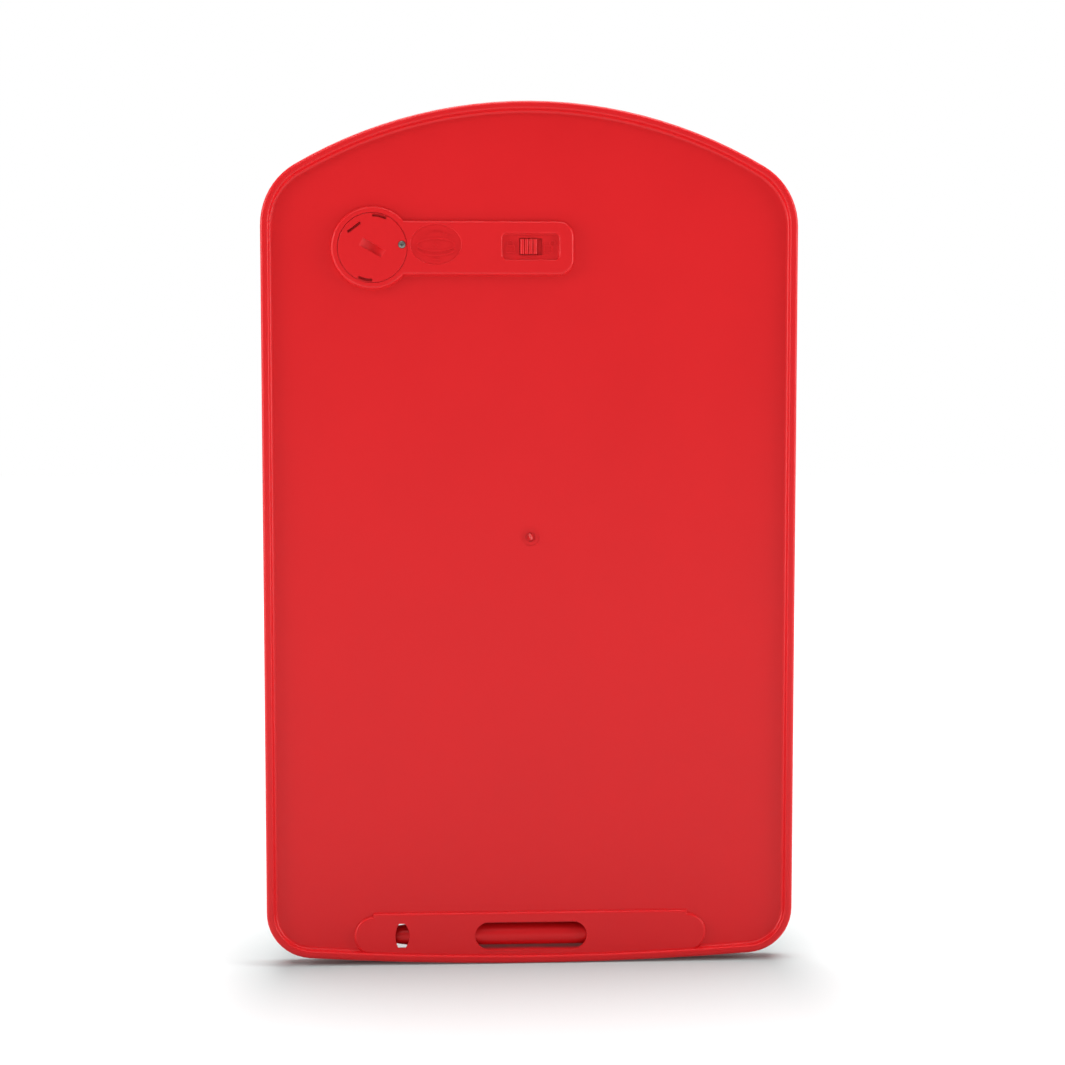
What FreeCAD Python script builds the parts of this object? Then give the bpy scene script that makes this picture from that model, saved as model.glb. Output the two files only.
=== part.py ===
import FreeCAD, Part
import math
import os

# An LCD writing tablet, standing upright on its bottom edge, all sizes in millimetres.
# +X is to the right and +Z up when looking at the back of the tablet; the back faces -Y, the screen +Y.

V = FreeCAD.Vector

# Case outline: two straight sides, an arched top, a slightly curved bottom and round corners
WIDTH = 188.0
HEIGHT = 305.0
ARCH_R = 162.6
SHOULDER_R = 24.3
FOOT_R = 1131.0
FOOT_CORNER_R = 16.4

# Depths along Y, from the back of the rim to the front face
REAR = -5.25
FRONT = 5.25
PANEL_REAR = -2.95
PANEL_INNER = -1.35
PARTING = 0.0
PLATE_INNER = 3.65
CASE_WALL = 1.8
RIM_WIDTH = 2.9
RIM_ROUND = 1.25
FRONT_ROUND = 0.7
RIM_INNER_ROUND = 0.85
RIM_FOOT_ROUND = 1.2

# Joint between the two halves: a tongue on the bezel that drops inside the wall of the cover
TONGUE = (1.95, 3.0)
TONGUE_Y = (-1.2, 0.6)
TONGUE_ROOT_Y = (0.3, 1.4)

# Ribs behind the panel, and the gate where the plastic ran into the mould
RIB_HALF = 0.6
RIB_INNER = 1.3
UPRIGHT_RIBS_X = (-60, -20, 20, 60)
LEVEL_RIBS_Z = (40, 85, 130, 175, 220)
GATE_Z = 153.0
GATE_DISH_R = 3.3
GATE_DISH_DEPTH = 0.3
GATE_WELL_R = 1.85
GATE_WELL_DEPTH = 0.75
GATE_NUB_R = 0.7

# Keyhole-shaped battery and switch housing on the back
DOOR_X = -55.2
DOOR_Z = 254.1
HOUSING_REAR = -5.1
HOUSING_R = 14.35
BAR_RIGHT = 15.0
BAR_HALF = 9.4
BAR_CORNER = 5.4
BAR_INNER = -3.2
BAR_WALL = 1.6
HOUSING_ROUND = 1.0

# Round battery door: a thin disc on a step, a plug below it and two lugs under a ledge
LUG_ROOT_R = 9.5
DOOR_R = 12.05
DOOR_OPENING_R = 12.2
DOOR_STEP = -4.2
LEDGE_R = 11.35
LEDGE_INNER = -3.4
PLUG_R = 11.15
PLUG_INNER = -2.8
LUG_R = 12.05
LUG_DEPTHS = (-3.3, -2.75)
LUG_ANGLES = (77.0, 257.0)
LUG_HALF_ANGLE = 12.5
DOOR_TURN = 35.0
COIN_SLOT_LENGTH = 9.0
COIN_SLOT_WIDTH = 2.9
COIN_SLOT_DEPTH = 1.2
COIN_SLOT_ANGLE = -29.0
VENT_RADIUS = 9.4
VENT_ANGLE = 132.0
VENT_SKEW = 5.0
VENT_SIZE = (5.5, 0.9)
VENT_FLOOR = -3.1

# Captive door screw, near the edge of the door
SCREW_RADIUS = 10.35
SCREW_ANGLE = 6.0
SCREW_HEAD_R = 1.3
SCREW_HEAD_DEPTH = 0.7
SCREW_SHANK_R = 0.75
SCREW_TIP = -0.95
SCREW_TRAVEL = 1.5

# Coin cell in its well, set a little away from the screw
CELL_X = DOOR_X - 1.2
CELL_R = 10.0
CELL_REAR = -2.65
CELL_FRONT = -0.15
CELL_WALL = 0.3
CELL_CAP_R = 8.95
WELL_R = 10.25
WELL_FLOOR = 0.5
WELL_INNER = 1.6

# Lock switch: a shallow rounded recess with a window that the ribbed knob slides in
SWITCH_Z = 254.65
RECESS_HALF_LENGTH = 10.1
RECESS_HALF_HEIGHT = 4.6
RECESS_CORNER = 1.7
RECESS_FLOOR = -4.1
RECESS_EDGE_ROUND = 0.4
RECESS_FOOT_ROUND = 0.3
WINDOW_HALF_LENGTH = 4.0
WINDOW_HALF_HEIGHT = 2.95
KNOB_X = -0.75
KNOB_WIDTH = 5.9
KNOB_HEIGHT = 5.3

# Moulded cell diagram beside the door
DIAGRAM_X = -33.1
DIAGRAM_Z = 255.3
DIAGRAM_HALF_WIDTH = 8.85
DIAGRAM_HALF_HEIGHT = 6.95
DIAGRAM_SINK = 0.4
DIAGRAM_EDGE_ROUND = 0.2
RELIEF = 0.35
LINE_WIDTH = 0.55

# Contacts of the cell: one on the well floor, one up the side of the well
NEGATIVE_SLOT = ((-47.5, -40.0), (252.5, 255.7))
POSITIVE_SLOT = ((-59.8, -52.4), (243.2, 245.4))
CONTACT_STRIP_Z = (252.9, 255.3)

# Circuit board and what it carries
BOARD_X = (-37.0, 13.4)
BOARD_Z = (245.6, 262.6)
BOARD_Y = (-0.5, 0.5)
BOARD_SCREWS_X = (-33.5, 9.6)
BOARD_SCREW_Z = 259.6
BOSS_R = 1.9
BOSS_HOLE_R = 0.75
CAPACITORS = [(-16.0, 249.5), (-13.6, 249.5), (-11.2, 249.5)]
CAPACITOR_SIZE = (1.25, 0.9, 2.0)
RESISTORS = [(5.4, 254.0), (7.2, 254.0), (9.0, 254.0)]
RESISTOR_SIZE = (0.8, 0.45, 1.6)
INDUCTOR_X = -5.6
INDUCTOR_Z = 249.0
ERASE_X = 0.0
ERASE_Z = SWITCH_Z
ERASE_R = 9.0

# Screen window, writing film and the layers behind it
SCREEN_X = 77.0
SCREEN_Z = (30.0, 232.0)
FILM_X = 81.0
FILM_Z = (26.0, 236.0)

# Stylus tray along the bottom edge
TRAY_REAR = -4.05
TRAY_FLOOR = -2.95
TRAY_ROUND = 0.85
TRAY_HALF_LENGTH = 56.2
TRAY_TOP = 18.45
TRAY_FOOT = 1.9
TRAY_END_R = 7.0
TRAY_END_X = 55.9
TRAY_END_Z = 10.3
FINGER_WINDOW_X = 0.1
FINGER_WINDOW_Z = 9.9
FINGER_WINDOW_HALF = (20.0, 5.0)
NOSE_HOLE_X = -45.9
NOSE_HOLE_Z = (5.9, 14.7)
TROUGH_Z = 9.5
TROUGH_HALF_LENGTH = 60.0
TROUGH_HALF_HEIGHT = 4.7
SADDLES_X = (-33.0, 38.0)
STYLUS_Y = 1.1
BARREL_R = 4.0
BARREL_LENGTH = 92.0
NOSE_START = -38.0
NOSE_R = 3.2
NOSE_SHOULDER = 10.0
NOSE_POINT = 6.0
TIP_LENGTH = 3.6
CAP_LENGTH = 3.6
GRIP_RINGS = 5
GRIP_PITCH = 2.2


def save(shape, node):
    os.makedirs("parts", exist_ok=True)
    shape.exportStep(os.path.join("parts", node + ".step"))


def box(xs, ys, zs):
    corner = V(xs[0], ys[0], zs[0])
    return Part.makeBox(xs[1] - xs[0], ys[1] - ys[0], zs[1] - zs[0], corner)


def disc(x, z, radius, ys):
    return Part.makeCylinder(radius, ys[1] - ys[0], V(x, ys[0], z), V(0, 1, 0))


def prism(wire, ys):
    """A flat outline in the XZ plane, pushed out along Y."""
    face = Part.Face(wire)
    face.translate(V(0, ys[0], 0))
    return face.extrude(V(0, ys[1] - ys[0], 0))


def arc(start, middle, end):
    return Part.Arc(start, middle, end).toShape()


def line(start, end):
    return Part.makeLine(start, end)


def polar(centre, radius, degrees):
    angle = math.radians(degrees)
    return V(centre[0] + radius * math.cos(angle), 0, centre[1] + radius * math.sin(angle))


def sector(centre, radii, degrees, ys):
    """A stretch of a ring, between two radii and two angles."""
    inner, outer = radii
    first, last = degrees
    middle = (first + last) / 2
    edges = [
        arc(polar(centre, inner, first), polar(centre, inner, middle), polar(centre, inner, last)),
        line(polar(centre, inner, last), polar(centre, outer, last)),
        arc(polar(centre, outer, last), polar(centre, outer, middle), polar(centre, outer, first)),
        line(polar(centre, outer, first), polar(centre, inner, first)),
    ]
    return prism(Part.Wire(edges), ys)


def rounded_box(centre, half_width, half_height, radius, ys):
    """A rectangle in the XZ plane with round corners, pushed out along Y."""
    x, z = centre
    block = box((x - half_width, x + half_width), ys, (z - half_height, z + half_height))
    corners = [edge for edge in block.Edges if edge.BoundBox.XLength < 1e-6 and edge.BoundBox.ZLength < 1e-6]
    return block.makeFillet(radius, corners)


def long_slot(centre, half_length, half_height, ys):
    """A slot with fully round ends, lying along X."""
    return rounded_box(centre, half_length, half_height, half_height - 0.001, ys)


def ellipse(centre, half_width, half_height, ys):
    curve = Part.Ellipse(V(centre[0], 0, centre[1]), half_width, half_height)
    curve.Axis = V(0, -1, 0)
    return prism(Part.Wire(curve.toShape()), ys)


def level_edges(shape, y, keep=None):
    """The edges that lie flat at one depth, all of them or those that keep picks."""
    found = []
    for edge in shape.Edges:
        bounds = edge.BoundBox
        flat = abs(bounds.YMin - y) < 1e-4 and abs(bounds.YMax - y) < 1e-4
        if flat and (keep is None or keep(edge)):
            found.append(edge)
    return found


def case_outline(inset):
    """The outline of the case, moved inwards by the inset; its arcs keep their centres."""
    arch_centre = (0.0, HEIGHT - ARCH_R)
    shoulder_x = WIDTH / 2 - SHOULDER_R
    shoulder_z = arch_centre[1] + math.sqrt((ARCH_R - SHOULDER_R) ** 2 - shoulder_x ** 2)
    foot_centre = (0.0, FOOT_R)
    corner_x = WIDTH / 2 - FOOT_CORNER_R
    corner_z = FOOT_R - math.sqrt((FOOT_R - FOOT_CORNER_R) ** 2 - corner_x ** 2)
    arch_end = math.degrees(math.atan2(shoulder_z - arch_centre[1], shoulder_x))
    foot_end = math.degrees(math.atan2(corner_z - FOOT_R, corner_x))
    arch_r = ARCH_R - inset
    shoulder_r = SHOULDER_R - inset
    foot_r = FOOT_R - inset
    corner_r = FOOT_CORNER_R - inset
    right_shoulder = (shoulder_x, shoulder_z)
    left_shoulder = (-shoulder_x, shoulder_z)
    right_corner = (corner_x, corner_z)
    left_corner = (-corner_x, corner_z)
    arch_right = polar(arch_centre, arch_r, arch_end)
    arch_left = polar(arch_centre, arch_r, 180 - arch_end)
    foot_right = polar(foot_centre, foot_r, foot_end)
    foot_left = polar(foot_centre, foot_r, 180 - foot_end)
    side_top = polar(right_shoulder, shoulder_r, 0)
    side_foot = polar(right_corner, corner_r, 0)
    far_side_top = polar(left_shoulder, shoulder_r, 180)
    far_side_foot = polar(left_corner, corner_r, 180)
    edges = [
        arc(arch_left, polar(arch_centre, arch_r, 90), arch_right),
        arc(arch_right, polar(right_shoulder, shoulder_r, arch_end / 2), side_top),
        line(side_top, side_foot),
        arc(side_foot, polar(right_corner, corner_r, foot_end / 2), foot_right),
        arc(foot_right, polar(foot_centre, foot_r, -90), foot_left),
        arc(foot_left, polar(left_corner, corner_r, 180 - foot_end / 2), far_side_foot),
        line(far_side_foot, far_side_top),
        arc(far_side_top, polar(left_shoulder, shoulder_r, 180 - arch_end / 2), arch_left),
    ]
    return Part.Wire(edges)


def case_block(inset, ys):
    return prism(case_outline(inset), ys)


def rounded_case_block(ys, rounded_depth, radius):
    """The full case outline with one of its two face edges rounded over."""
    block = case_block(0, ys)
    return block.makeFillet(radius, level_edges(block, rounded_depth))


def housing_bump():
    """The keyhole shape: the ring round the door, run into the bar."""
    ys = (HOUSING_REAR, PANEL_INNER)
    bar = box((DOOR_X, BAR_RIGHT), ys, (DOOR_Z - BAR_HALF, DOOR_Z + BAR_HALF))
    ends = [
        edge
        for edge in bar.Edges
        if edge.BoundBox.XMin > BAR_RIGHT - 1e-6 and edge.BoundBox.YLength > 1
    ]
    bar = bar.makeFillet(BAR_CORNER, ends)
    bump = disc(DOOR_X, DOOR_Z, HOUSING_R, ys).fuse(bar).removeSplitter()
    return bump.makeFillet(HOUSING_ROUND, level_edges(bump, HOUSING_REAR))


def tray_bump():
    """The shallow platform over the stylus, with a round end on each side."""
    ys = (TRAY_REAR, PANEL_INNER)
    bump = box((-TRAY_HALF_LENGTH, TRAY_HALF_LENGTH), ys, (TRAY_FOOT, TRAY_TOP))
    for side in (-1, 1):
        bump = bump.fuse(disc(side * TRAY_END_X, TRAY_END_Z, TRAY_END_R, ys))
    bump = bump.removeSplitter()
    return bump.makeFillet(TRAY_ROUND, level_edges(bump, TRAY_REAR))


def trough(ys, growth=0.0):
    centre = (0.0, TROUGH_Z)
    return long_slot(centre, TROUGH_HALF_LENGTH + growth, TROUGH_HALF_HEIGHT + growth, ys)


def nose_hole():
    """The small hole through the tray floor: fuller on its right side, blunt at both ends."""
    x = NOSE_HOLE_X
    foot, top = NOSE_HOLE_Z
    left_top = V(x - 1.2, 0, top)
    right_top = V(x + 0.9, 0, top)
    left_foot = V(x - 1.5, 0, foot)
    right_foot = V(x + 1.1, 0, foot)
    edges = [
        line(left_top, right_top),
        arc(right_top, V(x + 2.6, 0, FINGER_WINDOW_Z), right_foot),
        line(right_foot, left_foot),
        arc(left_foot, V(x - 2.5, 0, FINGER_WINDOW_Z), left_top),
    ]
    return prism(Part.Wire(edges), (TRAY_REAR - 1, TRAY_FLOOR + 1))


def add_cell_diagram(cover):
    """A sunk oval that holds a raised drawing of a coin cell with its plus sign."""
    floor = HOUSING_REAR + DIAGRAM_SINK
    line_height = (floor - RELIEF, floor + 0.1)
    through = (floor - 1, floor + 1)
    centre = (DIAGRAM_X, DIAGRAM_Z)
    cover = cover.cut(ellipse(centre, DIAGRAM_HALF_WIDTH, DIAGRAM_HALF_HEIGHT, (HOUSING_REAR - 1, floor)))
    left_end = DIAGRAM_X - DIAGRAM_HALF_WIDTH
    edges = level_edges(cover, HOUSING_REAR, lambda edge: abs(edge.BoundBox.XMin - left_end) < 0.5)
    cover = cover.makeFillet(DIAGRAM_EDGE_ROUND, edges)
    face_size = (6.9, 2.4)
    face = ellipse(centre, *face_size, line_height)
    face_rim = face.cut(ellipse(centre, face_size[0] - LINE_WIDTH, face_size[1] - LINE_WIDTH, through))
    lower = (DIAGRAM_X, DIAGRAM_Z - 1.4)
    edge_size = (6.9, 2.6)
    edge = ellipse(lower, *edge_size, line_height)
    edge_rim = edge.cut(ellipse(lower, edge_size[0] - LINE_WIDTH, edge_size[1] - LINE_WIDTH, through))
    edge_rim = edge_rim.cut(ellipse(centre, *face_size, through))
    edge_rim = edge_rim.cut(box((DIAGRAM_X - 9, DIAGRAM_X + 9), through, (DIAGRAM_Z - 0.6, DIAGRAM_Z + 9)))
    half_line = LINE_WIDTH / 2
    arm = 0.9
    plus = []
    for half_x, half_z in ((arm, half_line), (half_line, arm)):
        xs = (DIAGRAM_X - half_x, DIAGRAM_X + half_x)
        plus.append(box(xs, line_height, (DIAGRAM_Z - half_z, DIAGRAM_Z + half_z)))
    foot = box((DIAGRAM_X - 1.4, DIAGRAM_X + 1.4), line_height, (DIAGRAM_Z - 5.4, DIAGRAM_Z - 4.95))
    ticks = []
    for step in range(-4, 5):
        tick = box((DIAGRAM_X - 0.15, DIAGRAM_X + 0.15), line_height, (DIAGRAM_Z + 4.2, DIAGRAM_Z + 5.0))
        tick.rotate(V(DIAGRAM_X, 0, DIAGRAM_Z - 4.0), V(0, 1, 0), step * 9.0)
        ticks.append(tick)
    return cover.multiFuse([face_rim, edge_rim, foot] + plus + ticks)


def padlock(x, z, open_shackle):
    """A raised padlock outline; the open one has its shackle swung aside."""
    ys = (RECESS_FLOOR - RELIEF, RECESS_FLOOR + 0.1)
    through = (RECESS_FLOOR - 1, RECESS_FLOOR + 1)
    body = rounded_box((x, z), 1.6, 1.45, 0.4, ys).cut(rounded_box((x, z), 1.2, 1.05, 0.2, through))
    shackle_x = x + 1.5 if open_shackle else x
    shackle = disc(shackle_x, z + 2.1, 1.15, ys).cut(disc(shackle_x, z + 2.1, 0.75, through))
    shackle = shackle.cut(box((x - 5, x + 5), through, (z - 2, z + 2.1)))
    legs = []
    for side in (-1, 1):
        foot = z + 1.3
        if open_shackle and side > 0:
            foot = z + 1.75
        leg_x = shackle_x + side * 0.95
        legs.append(box((leg_x - 0.2, leg_x + 0.2), ys, (foot, z + 2.1)))
    return body.multiFuse([shackle] + legs)


def door_seat(cover):
    """Step, ledge and lug track for the door, and below them the well of the cell."""
    centre = (DOOR_X, DOOR_Z)
    cover = cover.cut(disc(*centre, DOOR_OPENING_R, (REAR - 1, DOOR_STEP + 0.05)))
    cover = cover.cut(disc(*centre, LEDGE_R, (REAR - 1, PLUG_INNER + 0.1)))
    for angle in LUG_ANGLES:
        track = (angle - LUG_HALF_ANGLE - 2, angle + LUG_HALF_ANGLE + DOOR_TURN + 2)
        entry = (angle + DOOR_TURN - LUG_HALF_ANGLE - 1.5, angle + DOOR_TURN + LUG_HALF_ANGLE + 1.5)
        track_radii = (LUG_ROOT_R, LUG_R + 0.25)
        entry_radii = (LUG_ROOT_R, DOOR_OPENING_R - 0.05)
        cover = cover.cut(sector(centre, track_radii, track, (LEDGE_INNER, LUG_DEPTHS[1] + 0.2)))
        cover = cover.cut(sector(centre, entry_radii, entry, (REAR - 1, LEDGE_INNER + 0.1)))
    cover = cover.cut(disc(CELL_X, DOOR_Z, WELL_R, (REAR - 1, WELL_FLOOR)))
    screw_sweep = (SCREW_ANGLE - 8, SCREW_ANGLE + DOOR_TURN + 8)
    return cover.cut(sector(centre, (9.0, 11.75), screw_sweep, (PLUG_INNER - 0.5, 0.1)))


def contact_slots(cover):
    """Ways through the well for the two battery contacts."""
    negative_x, negative_z = NEGATIVE_SLOT
    positive_x, positive_z = POSITIVE_SLOT
    cover = cover.cut(box(negative_x, (0.05, WELL_FLOOR + 0.05), negative_z))
    return cover.cut(box(positive_x, (-2.5, 4.0), positive_z))


def is_recess_edge(edge):
    middle = edge.BoundBox.Center
    beside = abs(middle.x) < RECESS_HALF_LENGTH + 0.1
    level = abs(middle.z - SWITCH_Z) < RECESS_HALF_HEIGHT + 0.1
    return beside and level


def switch_openings(cover):
    centre = (0.0, SWITCH_Z)
    recess_ys = (HOUSING_REAR - 1, RECESS_FLOOR)
    recess = rounded_box(centre, RECESS_HALF_LENGTH, RECESS_HALF_HEIGHT, RECESS_CORNER, recess_ys)
    recess = recess.makeFillet(RECESS_FOOT_ROUND, level_edges(recess, RECESS_FLOOR))
    cover = cover.cut(recess)
    edges = level_edges(cover, HOUSING_REAR, is_recess_edge)
    cover = cover.makeFillet(RECESS_EDGE_ROUND, edges)
    window_ys = (HOUSING_REAR - 1, BAR_INNER + 1)
    return cover.cut(rounded_box(centre, WINDOW_HALF_LENGTH, WINDOW_HALF_HEIGHT, 0.3, window_ys))


def nail_notch(first_y):
    """The notch beside the nose of the stylus, cut down into the lower wall of the trough."""
    return box((-50.5, -41.5), (first_y, FRONT + 1), (2.9, TROUGH_Z))


def stiffening_ribs():
    """The grid of ribs behind the panel that carries the support board."""
    ys = (PANEL_INNER - 0.1, RIB_INNER)
    ribs = [box((x - RIB_HALF, x + RIB_HALF), ys, (22.0, FILM_Z[1])) for x in UPRIGHT_RIBS_X]
    ribs += [box((-84.0, 84.0), ys, (z - RIB_HALF, z + RIB_HALF)) for z in LEVEL_RIBS_Z]
    return ribs


def add_gate(cover):
    """The mark of the gate: a shallow dish with a deeper well, and the root of the torn stub in it."""
    cover = cover.cut(disc(0, GATE_Z, GATE_DISH_R, (REAR, PANEL_REAR + GATE_DISH_DEPTH)))
    floor = PANEL_REAR + GATE_WELL_DEPTH
    cover = cover.cut(disc(0, GATE_Z, GATE_WELL_R, (REAR, floor)))
    nub = Part.makeCone(GATE_NUB_R * 1.4, GATE_NUB_R, GATE_WELL_DEPTH, V(0, floor + 0.1, GATE_Z), V(0, -1, 0))
    return cover.fuse(nub)


def rear_cover():
    cover = rounded_case_block((REAR, PARTING - 0.1), REAR, RIM_ROUND)
    recess = case_block(RIM_WIDTH, (REAR - 1, PANEL_REAR))
    recess = recess.makeFillet(RIM_FOOT_ROUND, level_edges(recess, PANEL_REAR))
    cover = cover.cut(recess)
    rim_inside = [edge for edge in level_edges(cover, REAR) if edge.BoundBox.ZMax < HEIGHT - RIM_WIDTH + 0.1]
    inner_rim = [edge for edge in rim_inside if edge.BoundBox.XMax < WIDTH / 2 - RIM_WIDTH + 0.1]
    inner_rim = [edge for edge in inner_rim if edge.BoundBox.ZMin > RIM_WIDTH - 0.1]
    cover = cover.makeFillet(RIM_INNER_ROUND, inner_rim)
    cover = cover.cut(case_block(CASE_WALL, (PANEL_INNER, 1.0)))
    well = disc(DOOR_X, DOOR_Z, HOUSING_R, (PANEL_REAR, WELL_INNER))
    trough_box = box((-62.5, 62.5), (PANEL_REAR, PLATE_INNER - 0.05), (0.0, 17.0))
    trough_block = trough_box.common(case_block(1.95, (PANEL_REAR, PLATE_INNER)))
    cover = cover.multiFuse([housing_bump(), tray_bump(), well, trough_block] + stiffening_ribs())
    bar_cavity_x = (DOOR_X + HOUSING_R - 0.6, BAR_RIGHT - BAR_WALL)
    bar_half = BAR_HALF - BAR_WALL
    cavity = box(bar_cavity_x, (BAR_INNER, PANEL_INNER + 0.5), (DOOR_Z - bar_half, DOOR_Z + bar_half))
    cover = cover.cut(cavity.cut(disc(DOOR_X, DOOR_Z, HOUSING_R, (REAR, FRONT))))
    cover = add_cell_diagram(cover)
    cover = switch_openings(cover)
    cover = cover.multiFuse([padlock(-7.05, 253.85, False), padlock(6.1, 253.85, True)])
    cover = door_seat(cover)
    cover = contact_slots(cover)
    bosses = [disc(x, BOARD_SCREW_Z, BOSS_R, (BAR_INNER - 0.1, BOARD_Y[0])) for x in BOARD_SCREWS_X]
    cover = cover.multiFuse(bosses)
    for x in BOARD_SCREWS_X:
        cover = cover.cut(disc(x, BOARD_SCREW_Z, BOSS_HOLE_R, (BAR_INNER + 0.2, BOARD_Y[0] + 1)))
    cover = cover.cut(trough((TRAY_FLOOR, FRONT)))
    finger_window = (FINGER_WINDOW_X, FINGER_WINDOW_Z)
    cover = cover.cut(long_slot(finger_window, *FINGER_WINDOW_HALF, (TRAY_REAR - 1, TRAY_FLOOR + 1)))
    cover = cover.cut(nail_notch(-2.0))
    cover = cover.cut(nose_hole())
    for x in SADDLES_X:
        saddle = box((x - 1, x + 1), (TRAY_FLOOR - 0.1, STYLUS_Y), (4.0, 15.0))
        cradle = Part.makeCylinder(BARREL_R + 0.15, 4, V(x - 2, STYLUS_Y, TROUGH_Z), V(1, 0, 0))
        cover = cover.fuse(saddle.cut(cradle))
    return add_gate(cover).removeSplitter()


def front_bezel():
    bezel = rounded_case_block((PARTING, FRONT), FRONT, FRONT_ROUND)
    bezel = bezel.cut(case_block(CASE_WALL, (PARTING - 1, PLATE_INNER)))
    inside = case_block(TONGUE[1], (-2, 2))
    tongue = case_block(TONGUE[0], TONGUE_Y).cut(inside)
    root = case_block(CASE_WALL - 0.1, TONGUE_ROOT_Y).cut(inside)
    keep_clear = box((-64, 64), (-3, 3), (-1, 20))
    bezel = bezel.multiFuse([tongue.cut(keep_clear), root.cut(keep_clear)])
    middle = (SCREEN_Z[0] + SCREEN_Z[1]) / 2
    half = (SCREEN_Z[1] - SCREEN_Z[0]) / 2
    window = rounded_box((0, middle), SCREEN_X, half, 4.0, (PLATE_INNER - 1, FRONT + 1))
    bezel = bezel.cut(window)
    bezel = bezel.cut(disc(ERASE_X, ERASE_Z, ERASE_R + 0.3, (PLATE_INNER - 1, FRONT + 1)))
    bezel = bezel.cut(trough((PLATE_INNER - 1, FRONT + 1)))
    openings = level_edges(bezel, FRONT, lambda edge: edge.BoundBox.XMax < SCREEN_X + 1)
    openings = [edge for edge in openings if edge.BoundBox.ZMin > 4.0 and edge.BoundBox.ZMax < 270.0]
    bezel = bezel.makeFillet(0.6, openings)
    return bezel.cut(nail_notch(PLATE_INNER - 1)).removeSplitter()


def screen_layer(ys, margin=0.0):
    half = (FILM_Z[1] - FILM_Z[0]) / 2 - margin
    middle = (FILM_Z[0] + FILM_Z[1]) / 2
    return rounded_box((0, middle), FILM_X - margin, half, 3.0, ys)


def adhesive_frame():
    middle = (SCREEN_Z[0] + SCREEN_Z[1]) / 2
    half = (SCREEN_Z[1] - SCREEN_Z[0]) / 2 + 0.5
    hole = rounded_box((0, middle), SCREEN_X + 0.5, half, 4.0, (0, FRONT))
    return screen_layer((3.35, PLATE_INNER)).cut(hole)


def film_lead():
    """A flat flex from the top edge of the film down to the connector on the board."""
    top = 3.15
    path = [(236.0, top), (239.0, top), (243.5, 1.55), (248.6, 1.55)]
    thickness = 0.2
    upper = [V(-29.0, y, z) for z, y in path]
    lower = [V(-29.0, y - thickness, z) for z, y in reversed(path)]
    corners = upper + lower
    face = Part.Face(Part.makePolygon(corners + corners[:1]))
    return face.extrude(V(10.0, 0, 0))


def film_connector():
    shell = box((-30.2, -17.8), (BOARD_Y[1], 2.0), (246.2, 249.4))
    return shell.cut(box((-29.2, -18.8), (1.25, 1.65), (245.0, 248.8)))


def circuit_board():
    centre = (sum(BOARD_X) / 2, sum(BOARD_Z) / 2)
    half_width = (BOARD_X[1] - BOARD_X[0]) / 2
    half_height = (BOARD_Z[1] - BOARD_Z[0]) / 2
    board = rounded_box(centre, half_width, half_height, 0.8, BOARD_Y)
    for x in BOARD_SCREWS_X:
        board = board.cut(disc(x, BOARD_SCREW_Z, 0.95, (-2, 2)))
    return board


def board_screws():
    screws = []
    for x in BOARD_SCREWS_X:
        head = disc(x, BOARD_SCREW_Z, 1.5, (BOARD_Y[1], BOARD_Y[1] + 0.9))
        head = head.makeFillet(0.4, level_edges(head, BOARD_Y[1] + 0.9))
        shank = disc(x, BOARD_SCREW_Z, 0.72, (-2.8, BOARD_Y[1] + 0.2))
        recess_y = (BOARD_Y[1] + 0.45, BOARD_Y[1] + 1)
        across = box((x - 0.8, x + 0.8), recess_y, (BOARD_SCREW_Z - 0.15, BOARD_SCREW_Z + 0.15))
        upright = box((x - 0.15, x + 0.15), recess_y, (BOARD_SCREW_Z - 0.8, BOARD_SCREW_Z + 0.8))
        screws.append(head.fuse(shank).cut(across).cut(upright))
    return Part.makeCompound(screws)


def chip_blob():
    """The drop of epoxy over the bare chip."""
    ball = Part.makeSphere(6.0, V(-12.0, BOARD_Y[1] - 4.6, 255.0))
    return ball.common(box((-20, -4), (BOARD_Y[1], 4), (247, 263)))


def chip_parts(places, size):
    """A row of small block-shaped components on the front of the board."""
    width, height, length = size
    ys = (BOARD_Y[1], BOARD_Y[1] + height)
    blocks = [box((x - width / 2, x + width / 2), ys, (z - length / 2, z + length / 2)) for x, z in places]
    return Part.makeCompound(blocks)


def inductor():
    """A ferrite bobbin: a round core with a groove for its winding."""
    centre = (INDUCTOR_X, INDUCTOR_Z)
    core = disc(*centre, 1.9, (BOARD_Y[1], BOARD_Y[1] + 1.9))
    groove = disc(*centre, 2.2, (1.0, 1.9)).cut(disc(*centre, 1.35, (0.8, 2.1)))
    return core.cut(groove)


def diode():
    body = box((5.6, 7.2), (BOARD_Y[1] + 0.15, 1.6), (247.6, 250.2))
    leads = [box((6.0, 6.8), (BOARD_Y[1], BOARD_Y[1] + 0.25), zs) for zs in ((246.9, 247.7), (250.1, 250.9))]
    return body.multiFuse(leads)


def tact_switch():
    body = box((-3.0, 3.0), (BOARD_Y[1], 2.1), (ERASE_Z - 3.0, ERASE_Z + 3.0))
    return body.cut(disc(ERASE_X, ERASE_Z, 1.7, (0.9, 3.0)))


def tact_plunger():
    return disc(ERASE_X, ERASE_Z, 1.6, (1.5, 2.6))


def erase_button():
    """A round key with a dished face; its flange keeps it behind the bezel."""
    key = disc(ERASE_X, ERASE_Z, ERASE_R, (2.95, 5.1))
    key = key.makeFillet(0.5, level_edges(key, 5.1))
    flange = disc(ERASE_X, ERASE_Z, ERASE_R + 1.4, (2.95, 3.55))
    stem = disc(ERASE_X, ERASE_Z, 1.5, (2.6, 3.0))
    dish = Part.makeSphere(60.0, V(ERASE_X, 4.65 + 60.0, ERASE_Z))
    return key.fuse(flange).fuse(stem).cut(dish)


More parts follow.
